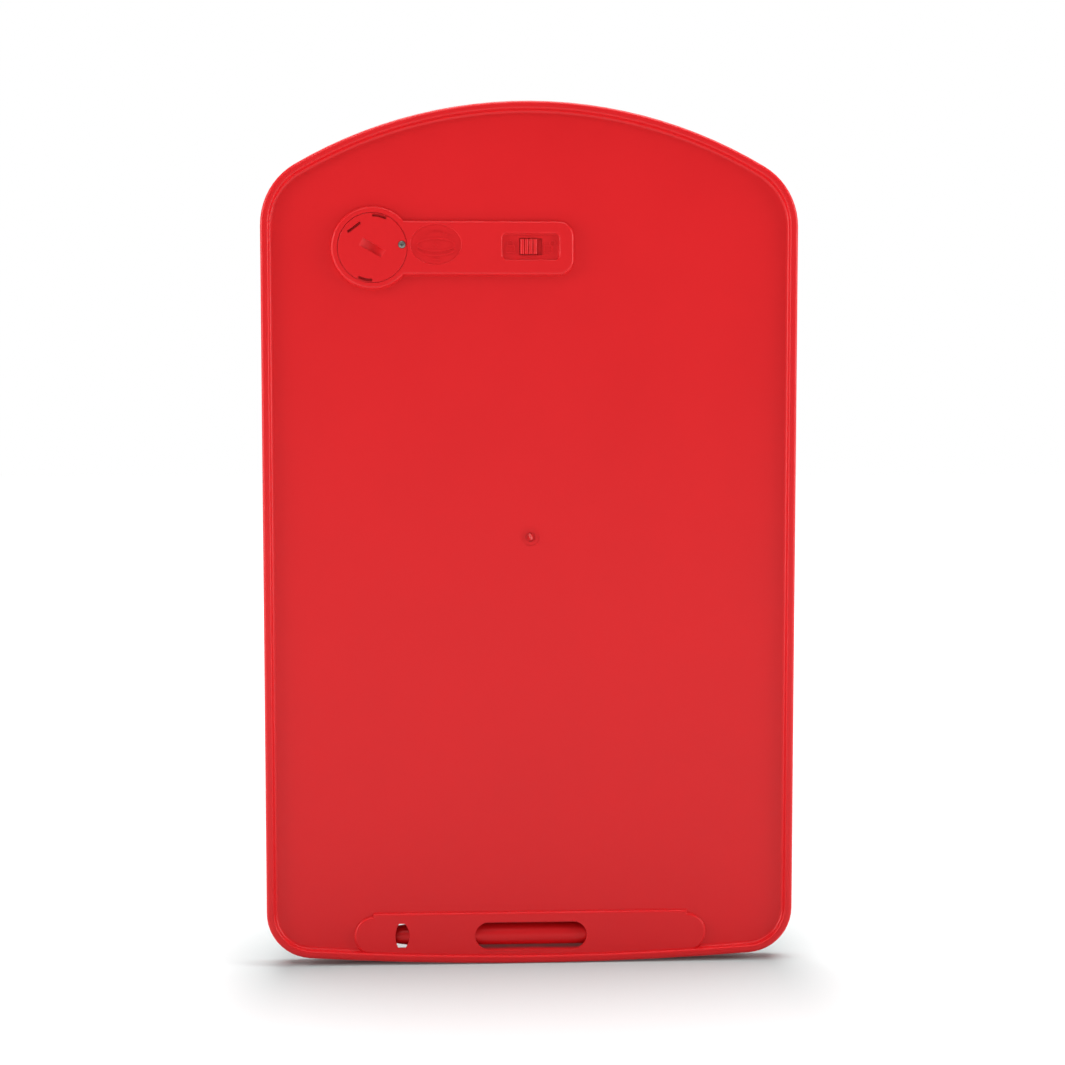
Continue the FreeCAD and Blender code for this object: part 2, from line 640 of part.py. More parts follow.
def slide_switch_shell():
    shell = box((-4.5, 4.5), (-2.55, BOARD_Y[0]), (SWITCH_Z - 2.0, SWITCH_Z + 2.0))
    shell = shell.cut(box((-4.2, 4.2), (-2.3, 0), (SWITCH_Z - 1.7, SWITCH_Z + 1.7)))
    return shell.cut(box((-1.9, 1.9), (-3, -2), (SWITCH_Z - 0.8, SWITCH_Z + 0.8)))


def slide_switch_base():
    return box((-4.1, 4.1), (-1.2, BOARD_Y[0]), (SWITCH_Z - 1.6, SWITCH_Z + 1.6))


def slide_switch_actuator():
    slider = box((KNOB_X - 2.2, KNOB_X + 2.2), (-2.2, -1.3), (SWITCH_Z - 1.4, SWITCH_Z + 1.4))
    stem = box((KNOB_X - 0.9, KNOB_X + 0.9), (-3.9, -2.0), (SWITCH_Z - 0.7, SWITCH_Z + 0.7))
    return slider.fuse(stem)


def lock_knob():
    """A thumb knob with four upright ridges, on a thin skirt that keeps the window covered."""
    half_width = KNOB_WIDTH / 2
    half_height = KNOB_HEIGHT / 2
    zs = (SWITCH_Z - half_height, SWITCH_Z + half_height)
    knob = box((KNOB_X - half_width, KNOB_X + half_width), (-4.4, -2.9), zs)
    pitch = KNOB_WIDTH / 4
    for number in range(4):
        x = KNOB_X - half_width + pitch * (number + 0.5)
        ridge = Part.makeCylinder(pitch / 2 - 0.06, KNOB_HEIGHT, V(x, -4.35, zs[0]), V(0, 0, 1))
        knob = knob.fuse(ridge)
    skirt = box((KNOB_X - 5.2, KNOB_X + 5.2), (-3.05, -2.7), (SWITCH_Z - 3.7, SWITCH_Z + 3.7))
    socket = box((KNOB_X - 0.95, KNOB_X + 0.95), (-3.95, -2.0), (SWITCH_Z - 0.75, SWITCH_Z + 0.75))
    return knob.fuse(skirt).cut(socket).removeSplitter()


def screw_centre():
    point = polar((DOOR_X, DOOR_Z), SCREW_RADIUS, SCREW_ANGLE)
    return point.x, point.z


def vent_slot():
    """The narrow blind slot near the edge of the door."""
    half_length, half_width = VENT_SIZE[0] / 2, VENT_SIZE[1] / 2
    x = DOOR_X + VENT_RADIUS
    ys = (HOUSING_REAR - 1, VENT_FLOOR)
    slot = box((x - half_width, x + half_width), ys, (DOOR_Z - half_length, DOOR_Z + half_length))
    slot.rotate(V(DOOR_X, 0, DOOR_Z), V(0, 1, 0), -VENT_ANGLE)
    slot.rotate(slot.CenterOfMass, V(0, 1, 0), VENT_SKEW)
    return slot


def battery_door():
    centre = (DOOR_X, DOOR_Z)
    plate = disc(*centre, DOOR_R, (HOUSING_REAR, DOOR_STEP))
    plate = plate.makeFillet(0.2, level_edges(plate, HOUSING_REAR))
    plug = disc(*centre, PLUG_R, (DOOR_STEP, PLUG_INNER))
    door = plate.fuse(plug)
    for angle in LUG_ANGLES:
        span = (angle - LUG_HALF_ANGLE, angle + LUG_HALF_ANGLE)
        door = door.fuse(sector(centre, (PLUG_R - 1.2, LUG_R), span, LUG_DEPTHS))
        notch_ys = (HOUSING_REAR - 1, DOOR_STEP + 0.5)
        door = door.cut(sector(centre, (PLUG_R - 0.4, LUG_R - 0.25), span, notch_ys))
        door = door.cut(sector(centre, (PLUG_R - 0.1, LUG_R + 1), span, (DOOR_STEP - 0.05, LUG_DEPTHS[0])))
    reach = (COIN_SLOT_LENGTH / 2) ** 2 + COIN_SLOT_DEPTH ** 2
    scoop_r = reach / (2 * COIN_SLOT_DEPTH)
    scoop = Part.makeCylinder(
        scoop_r,
        COIN_SLOT_WIDTH,
        V(DOOR_X, HOUSING_REAR + COIN_SLOT_DEPTH - scoop_r, DOOR_Z - COIN_SLOT_WIDTH / 2),
        V(0, 0, 1),
    )
    scoop.rotate(V(DOOR_X, 0, DOOR_Z), V(0, 1, 0), -COIN_SLOT_ANGLE)
    door = door.cut(scoop)
    door = door.cut(vent_slot())
    place = screw_centre()
    head_seat = (HOUSING_REAR - 1, HOUSING_REAR + SCREW_HEAD_DEPTH + 0.1)
    door = door.cut(disc(*place, SCREW_HEAD_R + 0.08, head_seat))
    return door.cut(disc(*place, SCREW_SHANK_R + 0.06, (HOUSING_REAR - 1, 0))).removeSplitter()


def door_screw():
    """Cross-head machine screw, its head just below the face of the door."""
    x, z = screw_centre()
    top = HOUSING_REAR + 0.03
    head = disc(x, z, SCREW_HEAD_R, (top, HOUSING_REAR + SCREW_HEAD_DEPTH))
    head = head.makeFillet(0.25, level_edges(head, top))
    shank = disc(x, z, SCREW_SHANK_R, (HOUSING_REAR + 0.5, SCREW_TIP))
    shank = shank.makeChamfer(0.3, level_edges(shank, SCREW_TIP))
    across = box((x - 0.85, x + 0.85), (top - 1, top + 0.4), (z - 0.17, z + 0.17))
    upright = box((x - 0.17, x + 0.17), (top - 1, top + 0.4), (z - 0.85, z + 0.85))
    return head.fuse(shank).cut(across).cut(upright)


def screw_keeper():
    """The small ring under the door that keeps the screw from dropping out."""
    x, z = screw_centre()
    ys = (PLUG_INNER + SCREW_TRAVEL + 0.05, PLUG_INNER + SCREW_TRAVEL + 0.45)
    return disc(x, z, 1.05, ys).cut(disc(x, z, SCREW_SHANK_R + 0.02, (-3, 0)))


def cell_can():
    """Steel can of the coin cell, its flat positive face towards the door."""
    can = disc(CELL_X, DOOR_Z, CELL_R, (CELL_REAR, CELL_FRONT - 0.25))
    can = can.makeFillet(0.35, level_edges(can, CELL_REAR))
    return can.cut(disc(CELL_X, DOOR_Z, CELL_R - CELL_WALL, (CELL_REAR + CELL_WALL, 0)))


def cell_gasket():
    """The insulating ring between the can and the cap."""
    ys = (CELL_REAR + CELL_WALL + 0.02, CELL_FRONT - 0.15)
    ring = disc(CELL_X, DOOR_Z, CELL_R - CELL_WALL - 0.02, ys)
    return ring.cut(disc(CELL_X, DOOR_Z, CELL_CAP_R + 0.05, (CELL_REAR, 0)))


def cell_cap():
    cap = disc(CELL_X, DOOR_Z, CELL_CAP_R, (CELL_REAR + CELL_WALL + 0.1, CELL_FRONT))
    return cap.makeFillet(0.4, level_edges(cap, CELL_FRONT))


def negative_contact():
    """A sprung strip on the well floor; its middle bows up to the cap of the cell."""
    path = [(-39.2, 0.3), (-46.5, 0.3), (-52.0, 0.05), (-57.5, 0.05), (-61.5, 0.32)]
    thickness = 0.15
    low, high = CONTACT_STRIP_Z
    near = [V(x, y, low) for x, y in path]
    far = [V(x, y + thickness, low) for x, y in reversed(path)]
    corners = near + far
    strip = Part.Face(Part.makePolygon(corners + corners[:1])).extrude(V(0, 0, high - low))
    dimple = disc(DOOR_X, DOOR_Z, 0.8, (CELL_FRONT + 0.02, 0.1))
    return strip.fuse(dimple)


def positive_contact():
    """An upright leaf that presses on the side of the can, with its tail inside the case."""
    leaf = box((-59.2, -53.0), (-2.4, 2.1), (243.55, 243.8))
    tail = box((-57.6, -54.6), (1.85, 2.1), (240.6, 243.8))
    pad = Part.makeCylinder(0.4, 3.0, V(-57.7, -1.6, 243.66), V(1, 0, 0))
    pad = pad.common(box((-60, -50), (-3, 0), (243.7, 244.08)))
    return leaf.fuse(tail).fuse(pad)


def lead(points):
    """An insulated wire along straight runs, each corner turned by an arc."""
    bend = 1.6
    corners = [V(*point) for point in points]
    edges = []
    start = corners[0]
    for before, corner, after in zip(corners, corners[1:], corners[2:]):
        way_in = (corner - before).normalize()
        way_out = (after - corner).normalize()
        turn = way_in.getAngle(way_out)
        cut_back = bend * math.tan(turn / 2)
        first = corner - way_in * cut_back
        last = corner + way_out * cut_back
        inward = (way_out - way_in).normalize()
        centre = corner + inward * (bend / math.cos(turn / 2))
        middle = centre - inward * bend
        edges.append(Part.makeLine(start, first))
        edges.append(arc(first, middle, last))
        start = last
    edges.append(Part.makeLine(start, corners[-1]))
    path = Part.Wire(edges)
    section = Part.Wire(Part.makeCircle(0.45, corners[0], corners[1] - corners[0]))
    return path.makePipeShell([section], True, True)


def red_lead():
    return lead([(-54.0, 2.65, 241.4), (-44.0, 2.65, 241.4), (-40.0, 2.2, 250.6), (-34.0, 0.95, 250.6)])


def black_lead():
    return lead([(-39.8, 0.95, 253.4), (-38.6, 2.4, 255.0), (-34.0, 0.95, 255.0)])


def stylus_barrel():
    """Moulded barrel with grip rings and a nose that narrows in two stages, lying along X."""
    axis = V(1, 0, 0)
    barrel = Part.makeCylinder(BARREL_R, BARREL_LENGTH, V(NOSE_START, STYLUS_Y, TROUGH_Z), axis)
    middle = NOSE_START - NOSE_SHOULDER
    shoulder = Part.makeCone(NOSE_R, BARREL_R, NOSE_SHOULDER, V(middle, STYLUS_Y, TROUGH_Z), axis)
    nose = Part.makeCone(1.7, NOSE_R, NOSE_POINT, V(middle - NOSE_POINT, STYLUS_Y, TROUGH_Z), axis)
    barrel = barrel.fuse(shoulder).fuse(nose)
    for number in range(GRIP_RINGS):
        x = NOSE_START + 1.5 + GRIP_PITCH * number
        ring = Part.makeTorus(BARREL_R + 0.25, 0.5, V(x, STYLUS_Y, TROUGH_Z), axis)
        barrel = barrel.cut(ring)
    return barrel


def stylus_tip():
    end_x = NOSE_START - NOSE_SHOULDER - NOSE_POINT - TIP_LENGTH
    tip = Part.makeCylinder(1.0, TIP_LENGTH, V(end_x, STYLUS_Y, TROUGH_Z), V(1, 0, 0))
    end = [edge for edge in tip.Edges if edge.BoundBox.XMax < end_x + 0.01]
    return tip.makeFillet(0.9, end)


def stylus_cap():
    start = NOSE_START + BARREL_LENGTH
    cap = Part.makeCylinder(BARREL_R, CAP_LENGTH, V(start, STYLUS_Y, TROUGH_Z), V(1, 0, 0))
    end = [edge for edge in cap.Edges if edge.BoundBox.XMin > start + CAP_LENGTH - 0.01]
    return cap.makeFillet(1.8, end)


PIECES = {
    "rear_cover": rear_cover,
    "front_bezel": front_bezel,
    "writing_film": lambda: screen_layer((2.85, 3.35)),
    "black_backing_sheet": lambda: screen_layer((2.55, 2.85), 0.5),
    "support_board": lambda: screen_layer((1.35, 2.55), 0.5),
    "adhesive_frame": adhesive_frame,
    "film_lead": film_lead,
    "film_connector": film_connector,
    "circuit_board": circuit_board,
    "board_screws": board_screws,
    "chip_blob": chip_blob,
    "chip_capacitors": lambda: chip_parts(CAPACITORS, CAPACITOR_SIZE),
    "chip_resistors": lambda: chip_parts(RESISTORS, RESISTOR_SIZE),
    "inductor": inductor,
    "diode": diode,
    "tact_switch": tact_switch,
    "tact_switch_plunger": tact_plunger,
    "erase_button": erase_button,
    "slide_switch_shell": slide_switch_shell,
    "slide_switch_base": slide_switch_base,
    "slide_switch_actuator": slide_switch_actuator,
    "lock_knob": lock_knob,
    "battery_door": battery_door,
    "door_screw": door_screw,
    "screw_keeper_ring": screw_keeper,
    "coin_cell_can": cell_can,
    "coin_cell_gasket": cell_gasket,
    "coin_cell_cap": cell_cap,
    "negative_contact": negative_contact,
    "positive_contact": positive_contact,
    "red_lead": red_lead,
    "black_lead": black_lead,
    "stylus_barrel": stylus_barrel,
    "stylus_tip": stylus_tip,
    "stylus_cap": stylus_cap,
}

for name, build in PIECES.items():
    save(build(), name)
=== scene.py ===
import math

import bmesh
import bpy
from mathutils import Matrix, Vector


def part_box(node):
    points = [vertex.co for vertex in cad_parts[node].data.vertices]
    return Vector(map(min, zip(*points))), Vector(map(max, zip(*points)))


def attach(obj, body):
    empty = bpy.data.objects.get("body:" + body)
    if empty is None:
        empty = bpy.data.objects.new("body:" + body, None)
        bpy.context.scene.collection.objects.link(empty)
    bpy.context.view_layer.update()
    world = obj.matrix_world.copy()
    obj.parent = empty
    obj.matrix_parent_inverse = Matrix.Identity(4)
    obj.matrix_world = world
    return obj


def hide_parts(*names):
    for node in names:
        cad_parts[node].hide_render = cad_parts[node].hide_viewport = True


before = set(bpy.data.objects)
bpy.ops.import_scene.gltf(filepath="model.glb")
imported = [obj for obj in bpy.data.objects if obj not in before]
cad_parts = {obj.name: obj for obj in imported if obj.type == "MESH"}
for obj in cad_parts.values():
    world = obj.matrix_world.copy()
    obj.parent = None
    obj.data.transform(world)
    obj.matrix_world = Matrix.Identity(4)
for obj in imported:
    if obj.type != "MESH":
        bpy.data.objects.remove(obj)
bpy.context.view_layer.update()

MM = 0.001

# The gate, where the plastic ran into the mould: its height, and how far the panel lies inside the case
GATE_Z = 153.0 * MM
PANEL_SINK = 2.3 * MM

# The whisker of flash on the top edge of the finger window
FLASH_X = 15.7 * MM
FLASH_Z = 15.1 * MM
TRAY_SINK = 1.5 * MM

SCREEN_WINDOW = (154.0 * MM, 202.0 * MM)
SCREEN_CORNER = 4.0 * MM
INK_THICKNESS = 0.03 * MM

# The straight part of the edge that stands on the floor, to each side of the middle; the painted shadow on
# the paper runs along it
FOOT_HALF_WIDTH = 0.085

bl_info = {
    "name": "Writing tablet",
    "version": (1, 0, 0),
    "blender": (4, 5, 0),
    "location": "3D View > Sidebar > Tablet",
    "description": "Finishes a red moulded writing tablet round its packed model, and sets up its studio",
    "category": "Object",
}


# ---------------------------------------------------------------- sizes and colours a user would change

class TabletColours(bpy.types.PropertyGroup):
    case_red: bpy.props.StringProperty(
        name="Case red",
        description="sRGB hex colour of the moulded case",
        default="#D3191E",
    )
    stylus_tip: bpy.props.StringProperty(
        name="Stylus tip",
        description="sRGB hex colour of the acetal tip of the stylus",
        default="#2B2B2E",
    )
    screen_dark: bpy.props.StringProperty(
        name="Blank screen",
        description="sRGB hex colour of the screen with nothing drawn on it",
        default="#1E2626",
    )
    board_green: bpy.props.StringProperty(
        name="Solder resist",
        description="sRGB hex colour of the lacquer on the circuit board",
        default="#0E5A33",
    )
    floor_white: bpy.props.StringProperty(
        name="Floor",
        description="sRGB hex colour of the studio paper",
        default="#BABABA",
    )


class TabletSizes(bpy.types.PropertyGroup):
    haze_width: bpy.props.FloatProperty(
        name="Haze width",
        description="Width of the soft cloudy patches that the flow of the plastic left in the panel",
        default=0.045,
        unit="LENGTH",
    )
    grain_pitch: bpy.props.FloatProperty(
        name="Mould grain pitch",
        description="Distance between the grains of the spark-eroded mould texture",
        default=0.0005,
        unit="LENGTH",
    )
    cutter_pitch: bpy.props.FloatProperty(
        name="Cutter mark pitch",
        description="Distance between the rings that the milling cutter left in the mould of the panel",
        default=0.0016,
        unit="LENGTH",
    )
    border_width: bpy.props.FloatProperty(
        name="Screen border",
        description="Width of the black border printed round the screen",
        default=0.0030,
        unit="LENGTH",
    )
    paper_width: bpy.props.FloatProperty(
        name="Paper width",
        description="Width of the studio floor",
        default=8.0,
        unit="LENGTH",
    )
    camera_lens: bpy.props.FloatProperty(
        name="Lens",
        description="Focal length of the camera on a 36 mm sensor, in millimetres",
        default=66.9,
    )


def colours():
    """The colours as they are set in the panel's scene."""
    return bpy.context.scene.tablet_colours


def sizes():
    """The sizes as they are set in the panel's scene."""
    return bpy.context.scene.tablet_sizes


# ---------------------------------------------------------------- small helpers

def linear(hex_colour):
    """An sRGB hex colour as the linear RGBA that shaders work in."""
    digits = hex_colour.lstrip("#")
    channels = [int(digits[start:start + 2], 16) / 255 for start in (0, 2, 4)]
    values = [value / 12.92 if value <= 0.04045 else ((value + 0.055) / 1.055) ** 2.4 for value in channels]
    return (*values, 1.0)


def shade_of(colour, factor):
    """The same colour, lighter or darker."""
    return tuple(min(1.0, value * factor) for value in colour[:3]) + (1.0,)


def add_node(tree, kind, settings=None, inputs=None):
    """Adds a node with its own settings, and its inputs as values or as the sockets that feed them."""
    node = tree.nodes.new(kind)
    for name, value in (settings or {}).items():
        setattr(node, name, value)
    for name, value in (inputs or {}).items():
        socket = node.inputs[name]
        if isinstance(value, bpy.types.NodeSocket):
            tree.links.new(value, socket)
        else:
            socket.default_value = value
    return node


def new_material(name):
    """An empty node material; returns the material, its tree and a socket with Object coordinates."""
    material = bpy.data.materials.new(name)
    material.use_nodes = True
    tree = material.node_tree
    tree.nodes.clear()
    place = add_node(tree, "ShaderNodeTexCoord")
    return material, tree, place.outputs["Object"]


def finish_material(tree, inputs):
    """Adds the Principled shader with these inputs, and the output."""
    shader = add_node(tree, "ShaderNodeBsdfPrincipled", None, inputs)
    add_node(tree, "ShaderNodeOutputMaterial", None, {"Surface": shader.outputs["BSDF"]})


def assign(material, *nodes):
    """Gives CAD nodes, named, their finish."""
    for name in nodes:
        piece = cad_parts[name]
        piece.data.materials.clear()
        piece.data.materials.append(material)


def middle_of(node):
    """The middle of a CAD node's box."""
    low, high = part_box(node)
    return (Vector(low) + Vector(high)) / 2


# ---------------------------------------------------------------- modelling helpers

def start_piece(name):
    """Names the primitive that was just added, and opens it in edit mode."""
    piece = bpy.context.object
    piece.name = name
    piece.data.name = name
    bpy.ops.object.mode_set(mode="EDIT")
    return piece


def pick_faces(test):
    """Selects the faces whose middle and normal pass the test, and nothing else."""
    mesh = bmesh.from_edit_mesh(bpy.context.object.data)
    for part in (*mesh.verts, *mesh.edges, *mesh.faces):
        part.select_set(False)
    for face in mesh.faces:
        if test(face.calc_center_median(), face.normal):
            face.select_set(True)
    bmesh.update_edit_mesh(bpy.context.object.data)


def deselect():
    """Leaves edit mode and deselects every object."""
    if bpy.context.object and bpy.context.object.mode != "OBJECT":
        bpy.ops.object.mode_set(mode="OBJECT")
    bpy.ops.object.select_all(action="DESELECT")


def close_piece(piece, smooth_angle=35.0):
    """Merges doubles, turns the faces outwards, leaves edit mode and applies the piece's place."""
    bpy.ops.mesh.select_all(action="SELECT")
    bpy.ops.mesh.remove_doubles(threshold=0.000001)
    bpy.ops.mesh.normals_make_consistent(inside=False)
    bpy.ops.object.mode_set(mode="OBJECT")
    bpy.ops.object.select_all(action="DESELECT")
    piece.select_set(True)
    bpy.context.view_layer.objects.active = piece
    bpy.ops.object.transform_apply(location=True, rotation=True, scale=True)
    bpy.ops.object.shade_smooth_by_angle(angle=math.radians(smooth_angle))


def apply_modifiers(piece):
    """Applies every modifier of the piece, in order."""
    bpy.context.view_layer.objects.active = piece
    for modifier in list(piece.modifiers):
        bpy.ops.object.modifier_apply(modifier=modifier.name)


def place_piece(piece, body, material):
    """Rides a finished piece on its body, and gives it its slot and its material."""
    piece.data.materials.clear()
    piece.data.materials.append(material)
    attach(piece, body)


FACING = {
    "+X": (0.0, math.pi / 2, 0.0),
    "+Y": (-math.pi / 2, 0.0, 0.0),
    "-Y": (math.pi / 2, 0.0, 0.0),
}


def in_metres(sections):
    """Sections given in millimetres, as metres."""
    return [(height * MM, radius * MM) for height, radius in sections]


def turned(name, base, facing, sections, segments=48):
    """A turned shape: a disc at its base is drawn out section by section, each a distance and a radius."""
    deselect()
    first, *rest = sections
    bpy.ops.mesh.primitive_circle_add(vertices=segments, radius=first[1], fill_type="NGON")
    piece = start_piece(name)
    height, radius = 0.0, first[1]
    for next_height, next_radius in rest:
        step = (0.0, 0.0, next_height - height)
        bpy.ops.mesh.extrude_region_move(TRANSFORM_OT_translate={"value": step})
        ratio = next_radius / radius
        bpy.ops.transform.resize(value=(ratio, ratio, 1.0), center_override=(0.0, 0.0, next_height))
        height, radius = next_height, next_radius
    piece.rotation_euler = FACING[facing]
    piece.location = base
    close_piece(piece)
    return piece


def flat_block(name, centre, size, corner, height, facing):
    """A rectangle with round corners, drawn out to its height and its top edge eased."""
    deselect()
    bpy.ops.mesh.primitive_plane_add(size=1.0)
    piece = start_piece(name)
    bpy.ops.transform.resize(value=(size[0], size[1], 1.0))
    bpy.ops.mesh.bevel(offset=corner, segments=6, affect="VERTICES")
    bpy.ops.mesh.extrude_region_move(TRANSFORM_OT_translate={"value": (0.0, 0.0, height)})
    bpy.ops.mesh.bevel(offset=height * 0.3, segments=2, affect="EDGES")
    piece.rotation_euler = FACING[facing]
    piece.location = centre
    close_piece(piece)
    return piece


def flat_frame(name, centre, size, corner, width, height, facing, turn=0.0):
    """A rectangle with round corners and a band round it, the middle taken out, drawn out to its height."""
    deselect()
    bpy.ops.mesh.primitive_plane_add(size=1.0)
    piece = start_piece(name)
    bpy.ops.transform.resize(value=(size[0], size[1], 1.0))
    bpy.ops.mesh.bevel(offset=corner, segments=8, affect="VERTICES")
    bpy.ops.mesh.inset(thickness=width, depth=0.0)
    bpy.ops.mesh.delete(type="FACE")
    bpy.ops.mesh.select_all(action="SELECT")
    bpy.ops.mesh.extrude_region_move(TRANSFORM_OT_translate={"value": (0.0, 0.0, height)})
    bpy.ops.mesh.select_all(action="SELECT")
    bpy.ops.transform.rotate(value=turn, orient_axis="Z", center_override=(0.0, 0.0, 0.0))
    piece.rotation_euler = FACING[facing]
    piece.location = centre
    close_piece(piece)
    return piece


def joined(name, pieces):
    """Several pieces as one mesh."""
    deselect()
    for piece in pieces:
        piece.select_set(True)
    bpy.context.view_layer.objects.active = pieces[0]
    if len(pieces) > 1:
        bpy.ops.object.join()
    whole = bpy.context.object
    whole.name = name
    whole.data.name = name
    return whole


def copies(piece, offsets):
    """The piece at each offset from where it stands, every copy with its own mesh, joined into one."""
    made = []
    for offset in offsets:
        twin = piece.copy()
        twin.data = piece.data.copy()
        bpy.context.scene.collection.objects.link(twin)
        deselect()
        twin.select_set(True)
        bpy.context.view_layer.objects.active = twin
        twin.location = offset
        bpy.ops.object.transform_apply(location=True, rotation=False, scale=False)
        made.append(twin)
    name = piece.name
    bpy.data.objects.remove(piece, do_unlink=True)
    return joined(name, made)


def carve_cross(piece, centre, arm, width, depth, facing):
    """Cuts a cross recess into the head of a screw; its two wings narrow towards the bottom."""
    for turn in (0.0, math.pi / 2):
        deselect()
        bpy.ops.mesh.primitive_cube_add(size=1.0)
        cutter = start_piece("cutter")
        bpy.ops.transform.resize(value=(arm * 2, width, depth * 2))
        pick_faces(lambda middle, normal: normal.z < -0.9)
        bpy.ops.transform.resize(value=(0.45, 0.7, 1.0), center_override=(0.0, 0.0, 0.0))
        bpy.ops.mesh.select_all(action="SELECT")
        bpy.ops.transform.rotate(value=turn, orient_axis="Z", center_override=(0.0, 0.0, 0.0))
        cutter.rotation_euler = FACING[facing]
        cutter.location = centre
        close_piece(cutter)
        cut = piece.modifiers.new("recess", "BOOLEAN")
        cut.operation = "DIFFERENCE"
        cut.solver = "EXACT"
        cut.object = cutter
        apply_modifiers(piece)
        bpy.data.objects.remove(cutter, do_unlink=True)


def smooth_again(piece, angle=35.0):
    """Sets smooth shading up to an angle, as a cut leaves some faces flat."""
    deselect()
    piece.select_set(True)
    bpy.context.view_layer.objects.active = piece
    bpy.ops.object.shade_smooth_by_angle(angle=math.radians(angle))


# ---------------------------------------------------------------- materials of the case

def moulded_abs(name, hex_colour, gate=None):
    """ABS, injection moulded, satin: a fine spark-eroded grain and soft flow clouds make its gloss uneven.

    Round its gate a panel also has faint rings, copied from the marks of the cutter in the mould."""
    material, tree, place = new_material(name)
    colour = linear(hex_colour)
    clouds = add_node(tree, "ShaderNodeTexNoise", None, {
        "Vector": place, "Scale": 1 / sizes().haze_width, "Detail": 4.0, "Roughness": 0.55,
    })
    grain = add_node(tree, "ShaderNodeTexNoise", None, {
        "Vector": place, "Scale": 1 / sizes().grain_pitch, "Detail": 2.0,
    })
    tint = add_node(tree, "ShaderNodeMix", {"data_type": "RGBA"}, {
        0: clouds.outputs["Fac"], 6: shade_of(colour, 0.95), 7: shade_of(colour, 1.045),
    })
    gloss = add_node(tree, "ShaderNodeMapRange", None, {
        "Value": clouds.outputs["Fac"], "To Min": 0.29, "To Max": 0.37,
    })
    height = grain.outputs["Fac"]
    if gate:
        centred = add_node(tree, "ShaderNodeMapping", None, {
            "Vector": place, "Location": (-gate[0], -gate[1], -gate[2]),
        })
        rings = add_node(tree, "ShaderNodeTexWave", {"wave_type": "RINGS", "rings_direction": "Y"}, {
            "Vector": centred.outputs["Vector"],
            "Scale": 0.314 / sizes().cutter_pitch,
            "Distortion": 1.2,
            "Detail": 2.0,
            "Detail Scale": 0.4,
        })
        patches = add_node(tree, "ShaderNodeTexNoise", None, {"Vector": place, "Scale": 45.0, "Detail": 2.0})
        mask = add_node(tree, "ShaderNodeMapRange", None, {
            "Value": patches.outputs["Fac"], "From Min": 0.46, "From Max": 0.70, "To Max": 2.0,
        })
        distance = add_node(tree, "ShaderNodeVectorMath", {"operation": "LENGTH"}, {
            0: centred.outputs["Vector"],
        })
        near = add_node(tree, "ShaderNodeMapRange", {"interpolation_type": "SMOOTHSTEP"}, {
            "Value": distance.outputs["Value"],
            "From Min": 0.01,
            "From Max": 0.05,
            "To Min": 1.0,
            "To Max": 0.0,
        })
        masked = add_node(tree, "ShaderNodeMath", {"operation": "MULTIPLY"}, {
            0: near.outputs["Result"], 1: mask.outputs["Result"],
        })
        faint = add_node(tree, "ShaderNodeMath", {"operation": "MULTIPLY"}, {
            0: rings.outputs["Fac"], 1: masked.outputs[0],
        })
        both = add_node(tree, "ShaderNodeMath", {"operation": "ADD"}, {0: faint.outputs[0], 1: height})
        height = both.outputs[0]
    bump = add_node(tree, "ShaderNodeBump", None, {"Height": height, "Strength": 0.10, "Distance": 0.00003})
    finish_material(tree, {
        "Base Color": tint.outputs[2],
        "Roughness": gloss.outputs["Result"],
        "Normal": bump.outputs["Normal"],
        "IOR": 1.53,
        "Specular IOR Level": 0.24,
    })
    return material


def turned_acetal():
    """Acetal, turned on a lathe: a soft waxy sheen with very fine rings round the tip."""
    material, tree, place = new_material("dark acetal, turned")
    rings = add_node(tree, "ShaderNodeTexWave", {"bands_direction": "X"}, {
        "Vector": place, "Scale": 1600.0, "Distortion": 0.5,
    })
    tone = add_node(tree, "ShaderNodeMapRange", None, {
        "Value": rings.outputs["Fac"], "To Min": 0.38, "To Max": 0.50,
    })
    wear = add_node(tree, "ShaderNodeTexNoise", None, {"Vector": place, "Scale": 900.0, "Detail": 3.0})
    colour = linear(colours().stylus_tip)
    tint = add_node(tree, "ShaderNodeMix", {"data_type": "RGBA"}, {
        0: wear.outputs["Fac"], 6: shade_of(colour, 0.8), 7: shade_of(colour, 1.4),
    })
    bump = add_node(tree, "ShaderNodeBump", None, {
        "Height": rings.outputs["Fac"], "Strength": 0.15, "Distance": 0.00002,
    })
    finish_material(tree, {
        "Base Color": tint.outputs[2],
        "Roughness": tone.outputs["Result"],
        "Normal": bump.outputs["Normal"],
        "IOR": 1.48,
    })
    return material


# ---------------------------------------------------------------- materials of the screen

